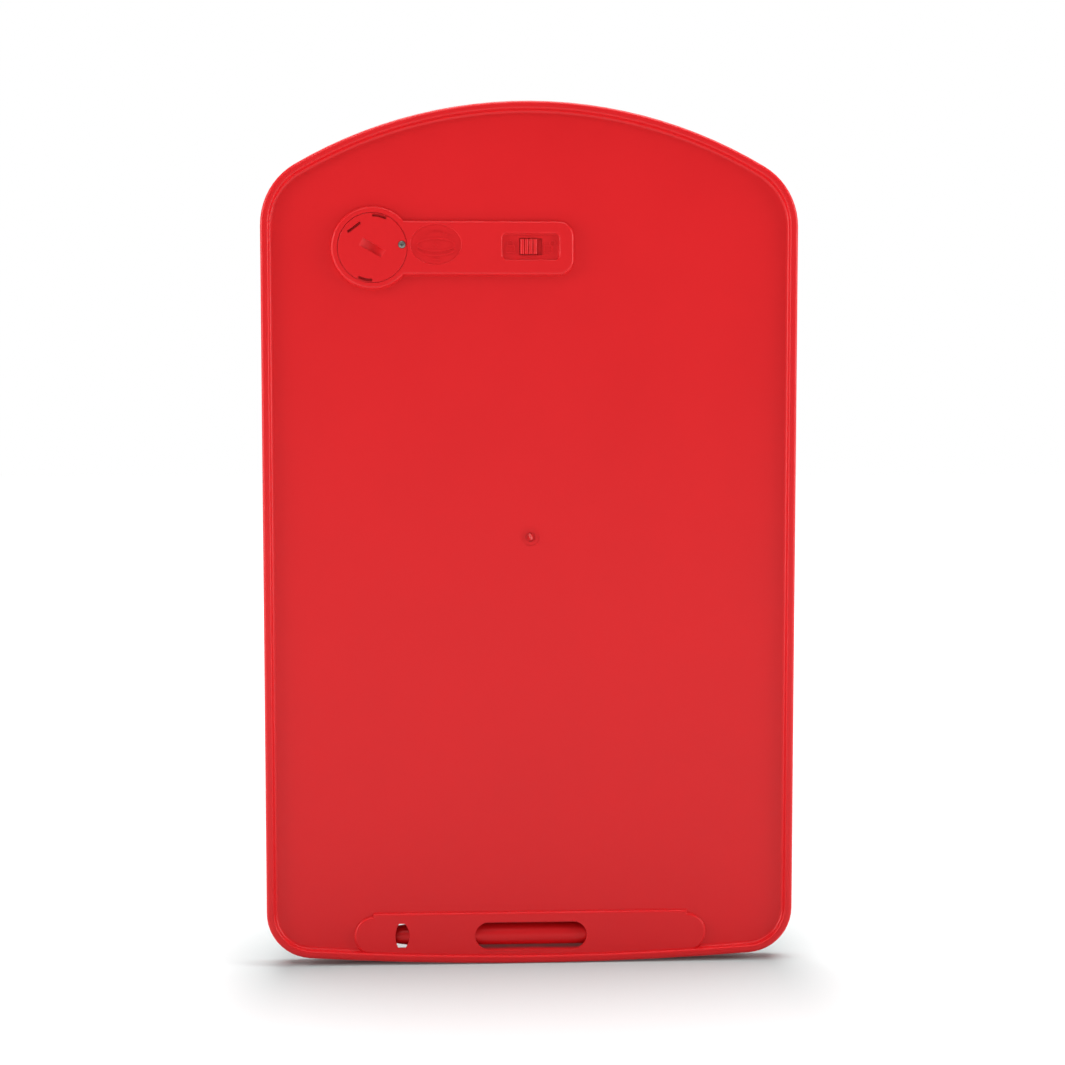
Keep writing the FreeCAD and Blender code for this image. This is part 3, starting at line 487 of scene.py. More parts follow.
def writing_surface():
    """Hard-coated polyester over liquid crystal: almost black, green and blue drifts under a gloss."""
    material, tree, place = new_material("hard-coated polyester over liquid crystal")
    drift = add_node(tree, "ShaderNodeTexNoise", None, {
        "Vector": place, "Scale": 9.0, "Detail": 3.0, "Distortion": 0.8,
    })
    blank = linear(colours().screen_dark)
    ramp = add_node(tree, "ShaderNodeValToRGB", None, {"Fac": drift.outputs["Fac"]})
    ramp.color_ramp.elements[0].position = 0.3
    ramp.color_ramp.elements[0].color = shade_of(blank, 0.7)
    ramp.color_ramp.elements[1].position = 0.72
    ramp.color_ramp.elements[1].color = (blank[0] * 0.9, blank[1] * 1.25, blank[2] * 1.5, 1.0)
    teal = ramp.color_ramp.elements.new(0.5)
    teal.color = (blank[0], blank[1] * 1.3, blank[2] * 1.05, 1.0)
    # the etched anti-glare coat is some 0.02 mm coarse; it is drawn at 0.4 mm so that it shows
    etch = add_node(tree, "ShaderNodeTexNoise", None, {"Vector": place, "Scale": 2500.0, "Detail": 1.0})
    bump = add_node(tree, "ShaderNodeBump", None, {
        "Height": etch.outputs["Fac"], "Strength": 0.05, "Distance": 0.00002,
    })
    gloss = add_node(tree, "ShaderNodeMapRange", None, {
        "Value": drift.outputs["Fac"], "To Min": 0.14, "To Max": 0.24,
    })
    finish_material(tree, {
        "Base Color": ramp.outputs["Color"],
        "Roughness": gloss.outputs["Result"],
        "Normal": bump.outputs["Normal"],
        "IOR": 1.57,
        "Coat Weight": 0.15,
        "Coat Roughness": 0.12,
    })
    return material


def speckled(name, hex_colour, pitch, contrast, roughness, strength=0.1, ior=1.5):
    """An even finish with a grain of its own: colour, gloss and height all vary at one pitch, in metres."""
    material, tree, place = new_material(name)
    colour = linear(hex_colour)
    grain = add_node(tree, "ShaderNodeTexNoise", None, {
        "Vector": place, "Scale": 1 / pitch, "Detail": 4.0, "Roughness": 0.6,
    })
    tint = add_node(tree, "ShaderNodeMix", {"data_type": "RGBA"}, {
        0: grain.outputs["Fac"], 6: shade_of(colour, 1 - contrast), 7: shade_of(colour, 1 + contrast),
    })
    gloss = add_node(tree, "ShaderNodeMapRange", None, {
        "Value": grain.outputs["Fac"], "To Min": roughness - 0.08, "To Max": roughness + 0.08,
    })
    bump = add_node(tree, "ShaderNodeBump", None, {
        "Height": grain.outputs["Fac"], "Strength": strength, "Distance": pitch * 0.1,
    })
    finish_material(tree, {
        "Base Color": tint.outputs[2],
        "Roughness": gloss.outputs["Result"],
        "Normal": bump.outputs["Normal"],
        "IOR": ior,
    })
    return material


def polyimide_flex():
    """Polyimide film with etched copper tracks inside: amber, with a darker stripe over each track."""
    material, tree, place = new_material("polyimide flex, etched copper tracks")
    tracks = add_node(tree, "ShaderNodeTexWave", {"bands_direction": "X"}, {
        "Vector": place, "Scale": 314.0, "Distortion": 0.0,
    })
    amber = linear("#B4651C")
    tint = add_node(tree, "ShaderNodeMix", {"data_type": "RGBA"}, {
        0: tracks.outputs["Fac"], 6: amber, 7: shade_of(amber, 0.55),
    })
    bump = add_node(tree, "ShaderNodeBump", None, {
        "Height": tracks.outputs["Fac"], "Strength": 0.3, "Distance": 0.00003,
    })
    finish_material(tree, {
        "Base Color": tint.outputs[2], "Roughness": 0.28, "Normal": bump.outputs["Normal"], "IOR": 1.7,
    })
    return material


# ---------------------------------------------------------------- materials of the electronics

def circuit_laminate():
    """Glass epoxy under green solder resist: copper tracks stand out a little and look lighter through it."""
    material, tree, place = new_material("glass epoxy board, solder resist over copper")
    green = linear(colours().board_green)
    flat = add_node(tree, "ShaderNodeMapping", None, {"Vector": place, "Rotation": (math.pi / 2, 0.0, 0.0)})
    tracks = add_node(tree, "ShaderNodeTexBrick", {"offset": 0.35}, {
        "Vector": flat.outputs["Vector"],
        "Color1": (1.0, 1.0, 1.0, 1.0),
        "Color2": (1.0, 1.0, 1.0, 1.0),
        "Mortar": (0.0, 0.0, 0.0, 1.0),
        "Scale": 160.0,
        "Mortar Size": 0.04,
        "Mortar Smooth": 0.1,
        "Brick Width": 0.9,
        "Row Height": 0.32,
    })
    weave = add_node(tree, "ShaderNodeTexNoise", None, {"Vector": place, "Scale": 1200.0, "Detail": 2.0})
    tint = add_node(tree, "ShaderNodeMix", {"data_type": "RGBA"}, {
        0: tracks.outputs["Fac"], 6: green, 7: shade_of(green, 1.9),
    })
    height = add_node(tree, "ShaderNodeMath", {"operation": "MULTIPLY_ADD"}, {
        0: tracks.outputs["Fac"], 1: 1.0, 2: weave.outputs["Fac"],
    })
    bump = add_node(tree, "ShaderNodeBump", None, {
        "Height": height.outputs[0], "Strength": 0.3, "Distance": 0.00004,
    })
    finish_material(tree, {
        "Base Color": tint.outputs[2], "Roughness": 0.3, "Normal": bump.outputs["Normal"], "IOR": 1.55,
    })
    return material


def chip_component(name, hex_colour, node, body_length):
    """A chip component: its sintered body in the middle, and a tinned metal cap at each end along Z."""
    material, tree, place = new_material(name)
    centre = middle_of(node)
    axes = add_node(tree, "ShaderNodeSeparateXYZ", None, {0: place})
    offset = add_node(tree, "ShaderNodeMath", {"operation": "SUBTRACT"}, {0: axes.outputs["Z"], 1: centre.z})
    distance = add_node(tree, "ShaderNodeMath", {"operation": "ABSOLUTE"}, {0: offset.outputs[0]})
    capped = add_node(tree, "ShaderNodeMath", {"operation": "GREATER_THAN"}, {
        0: distance.outputs[0], 1: body_length / 2,
    })
    grain = add_node(tree, "ShaderNodeTexNoise", None, {"Vector": place, "Scale": 4000.0, "Detail": 2.0})
    ceramic = linear(hex_colour)
    body = add_node(tree, "ShaderNodeMix", {"data_type": "RGBA"}, {
        0: grain.outputs["Fac"], 6: shade_of(ceramic, 0.85), 7: shade_of(ceramic, 1.2),
    })
    tint = add_node(tree, "ShaderNodeMix", {"data_type": "RGBA"}, {
        0: capped.outputs[0], 6: body.outputs[2], 7: linear("#C9C8C3"),
    })
    bump = add_node(tree, "ShaderNodeBump", None, {
        "Height": grain.outputs["Fac"], "Strength": 0.2, "Distance": 0.00002,
    })
    finish_material(tree, {
        "Base Color": tint.outputs[2],
        "Metallic": capped.outputs[0],
        "Roughness": 0.38,
        "Normal": bump.outputs["Normal"],
    })
    return material


def metal(name, hex_colour, streak, roughness, tarnish=0.12):
    """A metal with fine marks along one direction; streak gives their length along X, Y and Z, in metres."""
    material, tree, place = new_material(name)
    scale = tuple(1 / length for length in streak)
    stretched = add_node(tree, "ShaderNodeMapping", None, {"Vector": place, "Scale": scale})
    marks = add_node(tree, "ShaderNodeTexNoise", None, {
        "Vector": stretched.outputs["Vector"], "Scale": 1.0, "Detail": 3.0,
    })
    stains = add_node(tree, "ShaderNodeTexNoise", None, {"Vector": place, "Scale": 700.0, "Detail": 3.0})
    colour = linear(hex_colour)
    tint = add_node(tree, "ShaderNodeMix", {"data_type": "RGBA"}, {
        0: stains.outputs["Fac"], 6: shade_of(colour, 1 - tarnish), 7: shade_of(colour, 1 + tarnish),
    })
    gloss = add_node(tree, "ShaderNodeMapRange", None, {
        "Value": marks.outputs["Fac"], "To Min": roughness - 0.08, "To Max": roughness + 0.10,
    })
    bump = add_node(tree, "ShaderNodeBump", None, {
        "Height": marks.outputs["Fac"], "Strength": 0.12, "Distance": 0.00003,
    })
    finish_material(tree, {
        "Base Color": tint.outputs[2],
        "Metallic": 1.0,
        "Roughness": gloss.outputs["Result"],
        "Normal": bump.outputs["Normal"],
    })
    return material


# ---------------------------------------------------------------- the case

class TABLET_OT_case(bpy.types.Operator):
    """Finishes the two halves of the case, and adds the torn gate and the flash left by the mould"""
    bl_idname = "tablet.case"
    bl_label = "Case"

    def execute(self, context):
        gate = Vector((0.0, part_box("rear_cover")[0][1] + PANEL_SINK, GATE_Z))
        panel_red = moulded_abs("red ABS, injection moulded panel", colours().case_red, gate)
        assign(panel_red, "rear_cover")
        red = moulded_abs("red ABS, injection moulded", colours().case_red)
        assign(red, "front_bezel", "battery_door", "lock_knob")
        add_gate_stub(gate, torn_abs("red ABS, torn, whitened, painted highlight", colours().case_red))
        add_flash_nub(red)
        return {"FINISHED"}


def torn_abs(name, hex_colour):
    """ABS that was torn off, not cut: lighter along the tear, partly stretched white and partly a painted
    highlight, with a rough fibrous surface.
    """
    material, tree, place = new_material(name)
    fibres = add_node(tree, "ShaderNodeTexNoise", None, {"Vector": place, "Scale": 2600.0, "Detail": 4.0})
    colour = linear(hex_colour)
    # painted highlight: the lighter colour of the torn stub is partly stress whitening and partly a highlight
    # painted into the colour
    stretched = (min(1.0, colour[0] * 1.25), colour[1] + 0.13, colour[2] + 0.12, 1.0)
    tint = add_node(tree, "ShaderNodeMix", {"data_type": "RGBA"}, {
        0: fibres.outputs["Fac"], 6: colour, 7: stretched,
    })
    bump = add_node(tree, "ShaderNodeBump", None, {
        "Height": fibres.outputs["Fac"], "Strength": 0.6, "Distance": 0.0001,
    })
    finish_material(tree, {
        "Base Color": tint.outputs[2], "Roughness": 0.45, "Normal": bump.outputs["Normal"], "IOR": 1.53,
    })
    return material


def add_gate_stub(gate, material):
    """The stub where the plastic ran in: a flattened oval that leans, its torn top drawn out to one side."""
    sections = in_metres([(0.0, 0.8), (0.5, 0.78), (0.9, 0.7), (1.15, 0.55)])
    stub = turned("gate_stub", gate + Vector((0.0, 0.7 * MM, 0.0)), "-Y", sections, segments=24)
    bpy.ops.object.mode_set(mode="EDIT")
    bpy.ops.mesh.select_all(action="SELECT")
    bpy.ops.transform.resize(value=(0.75, 1.0, 1.6), center_override=gate)
    bpy.ops.transform.rotate(value=math.radians(22.0), orient_axis="Y", center_override=gate)
    top = gate.y - 0.4 * MM
    pick_faces(lambda middle, normal: middle.y < top and normal.y < -0.5)
    bpy.ops.transform.translate(value=(-0.2 * MM, -0.05 * MM, 0.35 * MM))
    bpy.ops.mesh.inset(thickness=0.15 * MM, depth=-0.18 * MM)
    close_piece(stub, 60.0)
    place_piece(stub, "case", material)


def add_flash_nub(material):
    """A whisker of flash on the top edge of the finger window."""
    base = Vector((FLASH_X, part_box("rear_cover")[0][1] + TRAY_SINK, FLASH_Z))
    sections = in_metres([(0.0, 0.5), (0.3, 0.42), (0.7, 0.25)])
    nub = turned("flash_nub", base, "-Y", sections, segments=12)
    place_piece(nub, "case", material)


# ---------------------------------------------------------------- battery door, its screw and the cell

class TABLET_OT_door_screw(bpy.types.Operator):
    """Models the captive door screw with its cross recess, and finishes the ring that keeps it"""
    bl_idname = "tablet.door_screw"
    bl_label = "Door screw"

    def execute(self, context):
        low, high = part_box("door_screw")
        zinc = metal("zinc-plated steel, cold headed", "#8E9089", (0.0004, 0.0004, 0.0004), 0.42, 0.25)
        screw = add_screw("door_screw_cross_head", low, high, "-Y", 1.3 * MM, 0.75 * MM, 0.67 * MM)
        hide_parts("door_screw")
        place_piece(screw, "door_screw", zinc)
        ring = speckled("nylon, moulded", "#D6D4C8", 0.0008, 0.05, 0.45)
        assign(ring, "screw_keeper_ring", "coin_cell_gasket")
        return {"FINISHED"}


def add_screw(name, low, high, facing, head_radius, shank_radius, head_depth):
    """A cross-head screw that fills the box of its CAD node: shank with a rolled thread, and a domed head."""
    length = high[1] - low[1]
    centre = Vector(((low[0] + high[0]) / 2, 0.0, (low[2] + high[2]) / 2))
    centre.y = high[1] if facing == "-Y" else low[1]
    shank = length - head_depth
    core = shank_radius * 0.8
    sections = [(0.0, core * 0.6), (0.25 * MM, core)]
    pitch = 0.4 * MM
    height = 0.35 * MM
    while height + pitch < shank - 0.2 * MM:
        sections += [(height, core), (height + pitch * 0.5, shank_radius), (height + pitch, core)]
        height += pitch
    sections += [(shank - 0.01 * MM, core), (shank, head_radius * 0.96)]
    sections += [(shank + head_depth * 0.55, head_radius), (shank + head_depth * 0.85, head_radius * 0.93)]
    sections += [(length, head_radius * 0.72)]
    screw = turned(name, centre, facing, sections, segments=32)
    top = centre.copy()
    top.y = low[1] if facing == "-Y" else high[1]
    carve_cross(screw, top, head_radius * 0.62, head_radius * 0.3, head_depth * 0.75, facing)
    smooth_again(screw)
    return screw


class TABLET_OT_coin_cell(bpy.types.Operator):
    """Finishes the coin cell and its contacts, and stamps the plus sign into the can"""
    bl_idname = "tablet.coin_cell"
    bl_label = "Coin cell"

    def execute(self, context):
        nickel = metal("nickel-plated steel, deep drawn", "#B9B6AE", (0.02, 0.0002, 0.0002), 0.28)
        assign(nickel, "coin_cell_can", "coin_cell_cap")
        spring = metal("nickel-plated spring bronze, stamped", "#C4BDA6", (0.004, 0.0001, 0.0003), 0.3)
        assign(spring, "negative_contact", "positive_contact")
        add_plus_mark(nickel)
        return {"FINISHED"}


def add_plus_mark(material):
    """A raised plus sign on the face of the can that looks at the door."""
    centre = middle_of("coin_cell_can")
    centre.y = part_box("coin_cell_can")[0][1]
    bars = [
        flat_block("plus_bar", centre, size, 0.12 * MM, 0.05 * MM, "-Y")
        for size in ((3.2 * MM, 0.5 * MM), (0.5 * MM, 3.2 * MM))
    ]
    place_piece(joined("cell_plus_mark", bars), "case", material)


# ---------------------------------------------------------------- screen and erase key

class TABLET_OT_screen(bpy.types.Operator):
    """Finishes the writing film and the layers behind it, and prints the border round the screen"""
    bl_idname = "tablet.screen"
    bl_label = "Screen"

    def execute(self, context):
        assign(writing_surface(), "writing_film")
        assign(speckled("black polyester film, matt", "#101011", 0.0012, 0.1, 0.55), "black_backing_sheet")
        assign(speckled("foamed PVC sheet, grey", "#8C8D8B", 0.0009, 0.08, 0.7, 0.3), "support_board")
        tape = speckled("tissue tape with acrylic adhesive", "#CBC7B4", 0.0015, 0.1, 0.6, 0.2)
        assign(tape, "adhesive_frame")
        assign(polyimide_flex(), "film_lead")
        assign(speckled("nylon connector body, moulded", "#2A2622", 0.0006, 0.1, 0.5), "film_connector")
        add_screen_border()
        return {"FINISHED"}


def add_screen_border():
    """Matt black ink, screen printed on the film along the edge of the window."""
    ink = speckled("screen-printed ink, matt black", "#0B0B0C", 0.0004, 0.25, 0.6)
    low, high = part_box("adhesive_frame")
    film_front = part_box("writing_film")[1][1]
    centre = ((low[0] + high[0]) / 2, film_front, (low[2] + high[2]) / 2)
    border = flat_frame(
        "screen_border_print", centre, SCREEN_WINDOW, SCREEN_CORNER, sizes().border_width,
        INK_THICKNESS, "+Y")
    place_piece(border, "case", ink)


class TABLET_OT_erase_key(bpy.types.Operator):
    """Finishes the erase key and adds the raised outline of an eraser to its dished face"""
    bl_idname = "tablet.erase_key"
    bl_label = "Erase key"

    def execute(self, context):
        red = moulded_abs("red ABS, polished mould", colours().case_red)
        assign(red, "erase_button")
        centre = middle_of("erase_button")
        centre.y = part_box("erase_button")[1][1] - 0.5 * MM
        eraser = flat_frame(
            "eraser", centre + Vector((0.0, 0.0, 0.6 * MM)), (6.0 * MM, 3.6 * MM), 0.7 * MM, 0.45 * MM,
            0.35 * MM, "+Y", math.radians(35.0))
        band = flat_block("band", centre + Vector((0.0, 0.0, -3.6 * MM)), (6.4 * MM, 0.45 * MM), 0.2 * MM,
                          0.35 * MM, "+Y")
        place_piece(joined("erase_symbol", [eraser, band]), "erase_key", red)
        return {"FINISHED"}


# ---------------------------------------------------------------- stylus

class TABLET_OT_stylus(bpy.types.Operator):
    """Models the stylus barrel in one smooth profile with its grip grooves, and finishes tip and cap"""
    bl_idname = "tablet.stylus"
    bl_label = "Stylus"

    def execute(self, context):
        red = moulded_abs("red ABS, moulded in two slides", colours().case_red)
        low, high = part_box("stylus_barrel")
        radius = (high[2] - low[2]) / 2
        middle = middle_of("stylus_barrel")
        profile = barrel_profile(radius, high[0] - low[0])
        barrel = turned("stylus_body", (low[0], middle.y, middle.z), "+X", profile)
        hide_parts("stylus_barrel")
        place_piece(barrel, "stylus", red)
        assign(red, "stylus_cap")
        assign(turned_acetal(), "stylus_tip")
        return {"FINISHED"}


def barrel_profile(radius, length):
    """Nose, shoulder, grip grooves and plain barrel, as distances from the nose and radii."""
    nose = 16.0 * MM
    steps = 10
    tip_radius = 1.6 * MM
    profile = []
    for step in range(steps + 1):
        share = step / steps
        swell = math.sin(share * math.pi / 2) ** 0.75
        profile.append((share * nose, tip_radius + (radius - tip_radius) * swell))
    first_groove = nose + 1.5 * MM
    for number in range(5):
        groove = first_groove + 2.2 * MM * number
        for offset, depth in ((-0.5, 0.0), (-0.25, 0.2), (0.0, 0.28), (0.25, 0.2), (0.5, 0.0)):
            profile.append((groove + offset * MM, radius - depth * MM))
    profile.append((length - 0.6 * MM, radius))
    profile.append((length - 0.3 * MM, radius - 0.12 * MM))
    profile.append((length, radius - 0.12 * MM))
    return profile


# ---------------------------------------------------------------- circuit board

class TABLET_OT_board(bpy.types.Operator):
    """Finishes the circuit board and its components, and adds the solder, the coil and the board screws"""
    bl_idname = "tablet.board"
    bl_label = "Circuit board"

    def execute(self, context):
        assign(circuit_laminate(), "circuit_board")
        assign(speckled("black epoxy, cast in a drop", "#0E0E10", 0.003, 0.2, 0.22), "chip_blob")
        for name, hex_colour, node, body_length in (
            ("sintered ceramic, tinned ends", "#A47C4E", "chip_capacitors", 1.3 * MM),
            ("glazed resistor film, tinned ends", "#1B1B1E", "chip_resistors", 1.0 * MM),
        ):
            assign(chip_component(name, hex_colour, node, body_length), node)
        assign(speckled("ferrite, sintered", "#3A3A3E", 0.0005, 0.2, 0.6), "inductor")
        assign(speckled("black epoxy, transfer moulded", "#161617", 0.0003, 0.2, 0.5), "diode")
        assign(speckled("black nylon, glass filled", "#1A1A1B", 0.0004, 0.2, 0.5), "tact_switch")
        acetal = speckled("black acetal, moulded", "#141415", 0.0006, 0.15, 0.4)
        assign(acetal, "tact_switch_plunger", "slide_switch_actuator")
        assign(speckled("brown phenolic paper", "#5A3A22", 0.0007, 0.2, 0.6), "slide_switch_base")
        tinned = metal("tinned sheet steel, pressed", "#A9A9A3", (0.003, 0.0002, 0.0002), 0.35)
        assign(tinned, "slide_switch_shell")
        add_solder_joints()
        add_coil_winding()
        add_switch_plate(tinned)
        add_board_screws()
        return {"FINISHED"}


def add_solder_joints():
    """Domes of solder where the leads, the battery contacts and the switch legs meet the board."""
    solder = metal("tin solder, flowed by hand", "#C2C2BE", (0.001, 0.001, 0.001), 0.25)
    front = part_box("circuit_board")[1][1]
    places = [(-33.4, 250.6), (-33.4, 255.0), (-36.4, 247.4)]
    places += [(x, z) for z in (252.4, 257.0) for x in (-3.2, 3.2)]
    sections = in_metres([(0.0, 0.75), (0.12, 0.72), (0.3, 0.5), (0.42, 0.2)])
    joint = turned("solder_joints", (0.0, front, 0.0), "+Y", sections, segments=16)
    joints = copies(joint, [Vector((x * MM, 0.0, z * MM)) for x, z in places])
    place_piece(joints, "case", solder)


def add_coil_winding():
    """Enamelled copper wire in the groove of the inductor, turn upon turn."""
    copper = metal("copper wire, enamelled", "#A85A2A", (0.001, 0.001, 0.001), 0.3, 0.1)
    middle = middle_of("inductor")
    deselect()
    wire = 0.11 * MM
    bpy.ops.mesh.primitive_torus_add(
        major_segments=40, minor_segments=8, major_radius=1.6 * MM, minor_radius=wire,
        location=(middle.x, 0.0, middle.z), rotation=(math.pi / 2, 0.0, 0.0))
    turn = start_piece("inductor_winding")
    bpy.ops.mesh.subdivide(number_cuts=1, smoothness=1.0)
    close_piece(turn, 80.0)
    offsets = [Vector((0.0, 1.13 * MM + wire * 2 * number, 0.0)) for number in range(4)]
    place_piece(copies(turn, offsets), "case", copper)


def add_switch_plate(material):
    """The steel plate over the push switch, with the hole for its plunger and four swaged pins."""
    middle = middle_of("tact_switch")
    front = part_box("tact_switch")[1][1]
    plate = flat_frame(
        "tact_switch_plate", (middle.x, front, middle.z), (5.6 * MM, 5.6 * MM), 0.5 * MM, 1.0 * MM,
        0.08 * MM, "+Y")
    pin_sections = in_metres([(0.0, 0.45), (0.08, 0.42), (0.16, 0.25)])
    pin = turned("pin", (middle.x, front, middle.z), "+Y", pin_sections, segments=12)
    corners = [Vector((x * MM, 0.0, z * MM)) for x in (-2.3, 2.3) for z in (-2.3, 2.3)]
    place_piece(joined("tact_switch_plate", [plate, copies(pin, corners)]), "case", material)


def add_board_screws():
    """Two cross-head screws, each with its rolled thread, in place of the plain ones."""
    zinc = metal("zinc-plated steel, thread rolled", "#9A9C97", (0.0004, 0.0004, 0.0004), 0.36, 0.2)
    low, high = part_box("board_screws")
    half_width = 1.5 * MM
    first_low = (low[0], low[1], low[2])
    first_high = (low[0] + 2 * half_width, high[1], high[2])
    screw = add_screw("board_screw_pair", first_low, first_high, "+Y", half_width, 0.72 * MM, 0.9 * MM)
    reach = high[0] - low[0] - 2 * half_width
    pair = copies(screw, [Vector((0.0, 0.0, 0.0)), Vector((reach, 0.0, 0.0))])
    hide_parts("board_screws")
    place_piece(pair, "case", zinc)


class TABLET_OT_leads(bpy.types.Operator):
    """Finishes the two insulated wires"""
    bl_idname = "tablet.leads"
    bl_label = "Leads"

    def execute(self, context):
        assign(speckled("red PVC, extruded", "#B5161A", 0.002, 0.08, 0.35), "red_lead")
        assign(speckled("black PVC, extruded", "#111112", 0.002, 0.15, 0.35), "black_lead")
        return {"FINISHED"}


# ---------------------------------------------------------------- stage

class TABLET_OT_stage(bpy.types.Operator):
    """Sets up the white paper, the softboxes and the camera"""
    bl_idname = "tablet.stage"
    bl_label = "Stage"

    def execute(self, context):
        add_paper()
        add_lights()
        add_air()
        add_camera()
        return {"FINISHED"}


def add_paper():
    """A white floor that glows though it is no lamp, a painted light that keeps the paper white far from the
    tablet.

    Near the foot of the tablet the emission is held back: a painted shadow there, which deepens the shadow
    that the lights cast."""
    deselect()
    bpy.ops.mesh.primitive_plane_add(size=sizes().paper_width, location=(0, 0, 0))
    paper = bpy.context.object
    paper.name = "studio_paper"
    material, tree, place = new_material("white paper, painted glow and painted foot shadow")
    fibres = add_node(tree, "ShaderNodeTexNoise", None, {"Vector": place, "Scale": 400.0, "Detail": 2.0})
    bump = add_node(tree, "ShaderNodeBump", None, {
        "Height": fibres.outputs["Fac"], "Strength": 0.02, "Distance": 0.0002,
    })
    from_foot = place
    for operation, amount in (
        ("ABSOLUTE", (0.0, 0.0, 0.0)),
        ("SUBTRACT", (FOOT_HALF_WIDTH, 0.0, 0.0)),
        ("MAXIMUM", (0.0, 0.0, 0.0)),
        ("MULTIPLY", (3.0, 1.0, 0.0)),
    ):
        step = add_node(tree, "ShaderNodeVectorMath", {"operation": operation}, {0: from_foot, 1: amount})
        from_foot = step.outputs["Vector"]
    distance = add_node(tree, "ShaderNodeVectorMath", {"operation": "LENGTH"}, {0: from_foot})
    near = add_node(tree, "ShaderNodeMapRange", None, {"Value": distance.outputs["Value"], "From Max": 0.1})
    # painted shadow: the paper's emission is nothing at the foot of the tablet and reaches its full strength
    # 0.1 m out
    painted_shadow_lift = add_node(tree, "ShaderNodeMath", {"operation": "POWER"}, {0: near.outputs["Result"], 1: 0.6})
    far = add_node(tree, "ShaderNodeMapRange", {"interpolation_type": "SMOOTHSTEP"}, {
        "Value": distance.outputs["Value"], "From Min": 0.1, "From Max": 1.2, "To Min": 0.0, "To Max": 0.5,
    })
    emission_with_painted_shadow = add_node(tree, "ShaderNodeMath", {"operation": "MULTIPLY_ADD"}, {
        0: painted_shadow_lift.outputs[0], 1: 0.42, 2: far.outputs["Result"],
    })
    # painted light: the paper is made a little less red close to the tablet, to cancel the red light that the
    # tablet throws on it
    white = linear(colours().floor_white)
    tint = add_node(tree, "ShaderNodeMix", {"data_type": "RGBA"}, {
        0: painted_shadow_lift.outputs[0], 6: (white[0] * 0.84, white[1], white[2], 1.0), 7: white,
    })
    finish_material(tree, {
        "Base Color": tint.outputs[2],
        "Roughness": 0.9,
        "Normal": bump.outputs["Normal"],
        "Specular IOR Level": 0.1,
        "Emission Color": (0.97, 1.0, 1.0, 1.0),
        "Emission Strength": emission_with_painted_shadow.outputs[0],
    })
    paper.data.materials.append(material)


def add_softbox(name, location, target, size, power):
    """A rectangular area light, size in metres and power in watts, aimed at the target."""
    light = bpy.data.lights.new(name, "AREA")
    light.shape = "RECTANGLE"
    light.size = size[0]
    light.size_y = size[1]
    light.energy = power
    lamp = bpy.data.objects.new(name, light)
    bpy.context.scene.collection.objects.link(lamp)
    lamp.location = location
    aim = Vector(target) - Vector(location)
    lamp.rotation_euler = aim.to_track_quat("-Z", "Y").to_euler()


def add_lights():
    """A key softbox above the camera, a wide one overhead, a strip each side, and a weak one low behind."""
    middle = (0.0, 0.0, 0.15)
    add_softbox("key_softbox", (-0.6, -1.25, 1.9), middle, (1.2, 0.8), 11)
    add_softbox("top_softbox", (0.1, 0.2, 1.4), middle, (1.5, 0.8), 23)
    add_softbox("left_softbox", (-1.2, -0.3, 0.4), middle, (0.5, 1.0), 10)
    add_softbox("right_softbox", (1.2, -0.3, 0.4), middle, (0.5, 1.0), 10)
    add_softbox("front_softbox", (0.3, -2.2, 0.5), middle, (2.4, 1.6), 2.5)


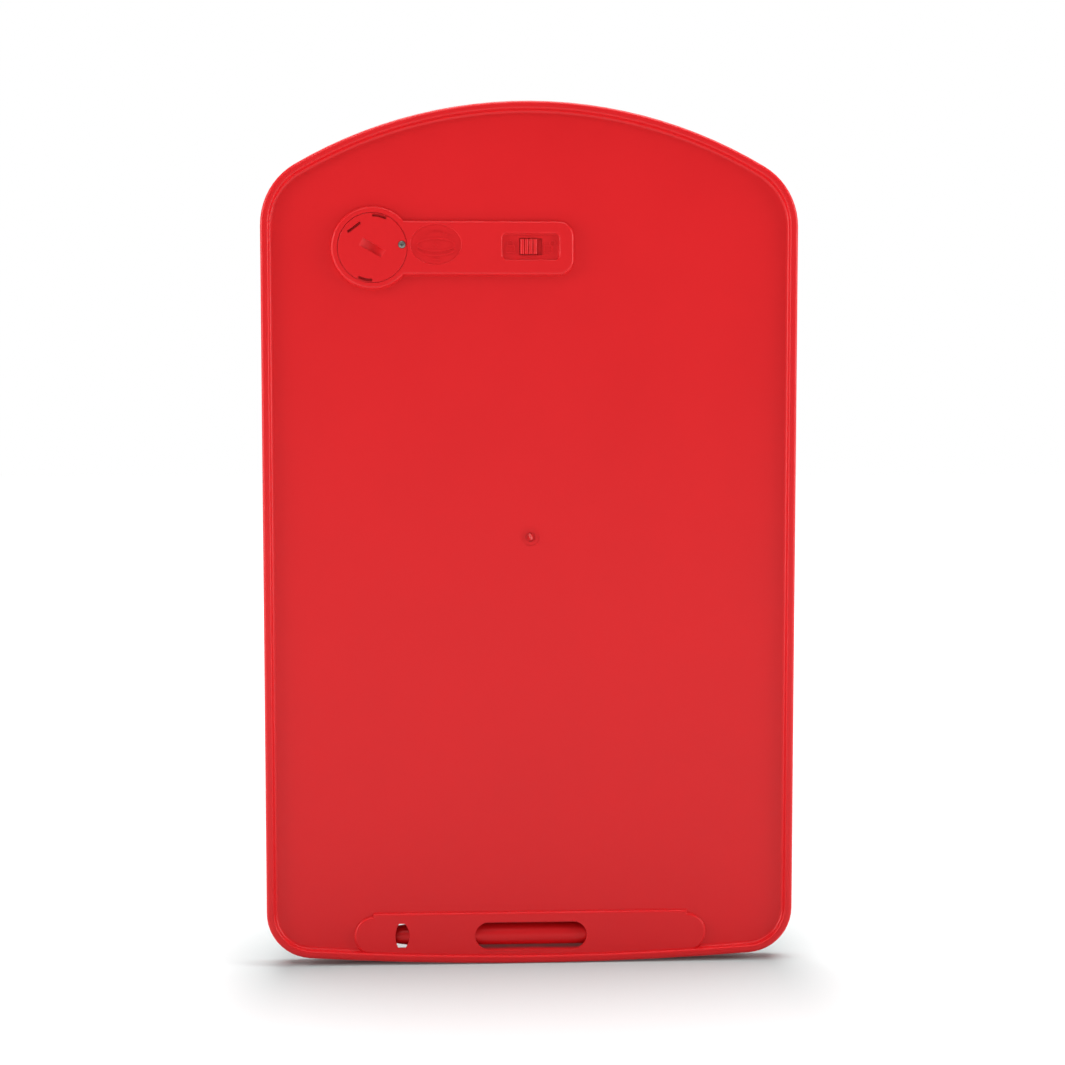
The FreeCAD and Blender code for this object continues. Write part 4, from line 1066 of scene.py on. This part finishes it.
def add_air():
    """Plain white where the camera looks straight at it; as a light it is dimmer, most so from the front."""
    world = bpy.data.worlds.new("studio_air")
    world.use_nodes = True
    tree = world.node_tree
    tree.nodes.clear()
    direction = add_node(tree, "ShaderNodeTexCoord")
    axes = add_node(tree, "ShaderNodeSeparateXYZ", None, {0: direction.outputs["Generated"]})
    overhead = add_node(tree, "ShaderNodeMapRange", None, {
        "Value": axes.outputs["Z"], "From Min": 0.0, "From Max": 0.8, "To Min": 0.55, "To Max": 1.0,
    })
    in_front = add_node(tree, "ShaderNodeMapRange", {"interpolation_type": "SMOOTHSTEP"}, {
        "Value": axes.outputs["Y"], "From Min": -0.95, "From Max": -0.35, "To Min": 0.05, "To Max": 0.27,
    })
    strength = add_node(tree, "ShaderNodeMath", {"operation": "MULTIPLY"}, {
        0: overhead.outputs["Result"], 1: in_front.outputs["Result"],
    })
    lighting = add_node(tree, "ShaderNodeBackground", None, {
        "Color": (1.0, 1.0, 1.0, 1.0), "Strength": strength.outputs[0],
    })
    white = add_node(tree, "ShaderNodeBackground", None, {
        "Color": (1.0, 1.0, 1.0, 1.0), "Strength": 1.0,
    })
    path = add_node(tree, "ShaderNodeLightPath")
    both = add_node(tree, "ShaderNodeMixShader", None, {
        0: path.outputs["Is Camera Ray"], 1: lighting.outputs[0], 2: white.outputs[0],
    })
    add_node(tree, "ShaderNodeOutputWorld", None, {"Surface": both.outputs[0]})
    bpy.context.scene.world = world


def add_camera():
    """Just above the middle of the tablet and a little to the left, 0.7 m from its back."""
    data = bpy.data.cameras.new("studio_camera")
    data.lens = sizes().camera_lens
    data.sensor_width = 36.0
    camera = bpy.data.objects.new("studio_camera", data)
    bpy.context.scene.collection.objects.link(camera)
    camera.location = (-0.0332, -0.6998, 0.2048)
    aim = Vector((0.0008, 0.0, 0.1543)) - camera.location
    camera.rotation_euler = aim.to_track_quat("-Z", "Y").to_euler()
    bpy.context.scene.camera = camera
    bpy.context.scene.view_settings.view_transform = "Standard"


class TABLET_PT_panel(bpy.types.Panel):
    """Lists every step of the tablet and its studio"""
    bl_label = "Tablet"
    bl_space_type = "VIEW_3D"
    bl_region_type = "UI"
    bl_category = "Tablet"

    def draw(self, context):
        for step in STEPS:
            self.layout.operator(step.bl_idname)


STEPS = (
    TABLET_OT_case,
    TABLET_OT_door_screw,
    TABLET_OT_coin_cell,
    TABLET_OT_screen,
    TABLET_OT_erase_key,
    TABLET_OT_stylus,
    TABLET_OT_board,
    TABLET_OT_leads,
    TABLET_OT_stage,
)
CLASSES = (TabletColours, TabletSizes) + STEPS + (TABLET_PT_panel,)


def register():
    for cls in CLASSES:
        bpy.utils.register_class(cls)
    bpy.types.Scene.tablet_colours = bpy.props.PointerProperty(type=TabletColours)
    bpy.types.Scene.tablet_sizes = bpy.props.PointerProperty(type=TabletSizes)


def unregister():
    del bpy.types.Scene.tablet_sizes
    del bpy.types.Scene.tablet_colours
    for cls in reversed(CLASSES):
        bpy.utils.unregister_class(cls)


def main():
    """Makes every piece and the studio in turn."""
    register()
    bpy.ops.tablet.case()
    bpy.ops.tablet.door_screw()
    bpy.ops.tablet.coin_cell()
    bpy.ops.tablet.screen()
    bpy.ops.tablet.erase_key()
    bpy.ops.tablet.stylus()
    bpy.ops.tablet.board()
    bpy.ops.tablet.leads()
    bpy.ops.tablet.stage()


if __name__ == "__main__":
    main()
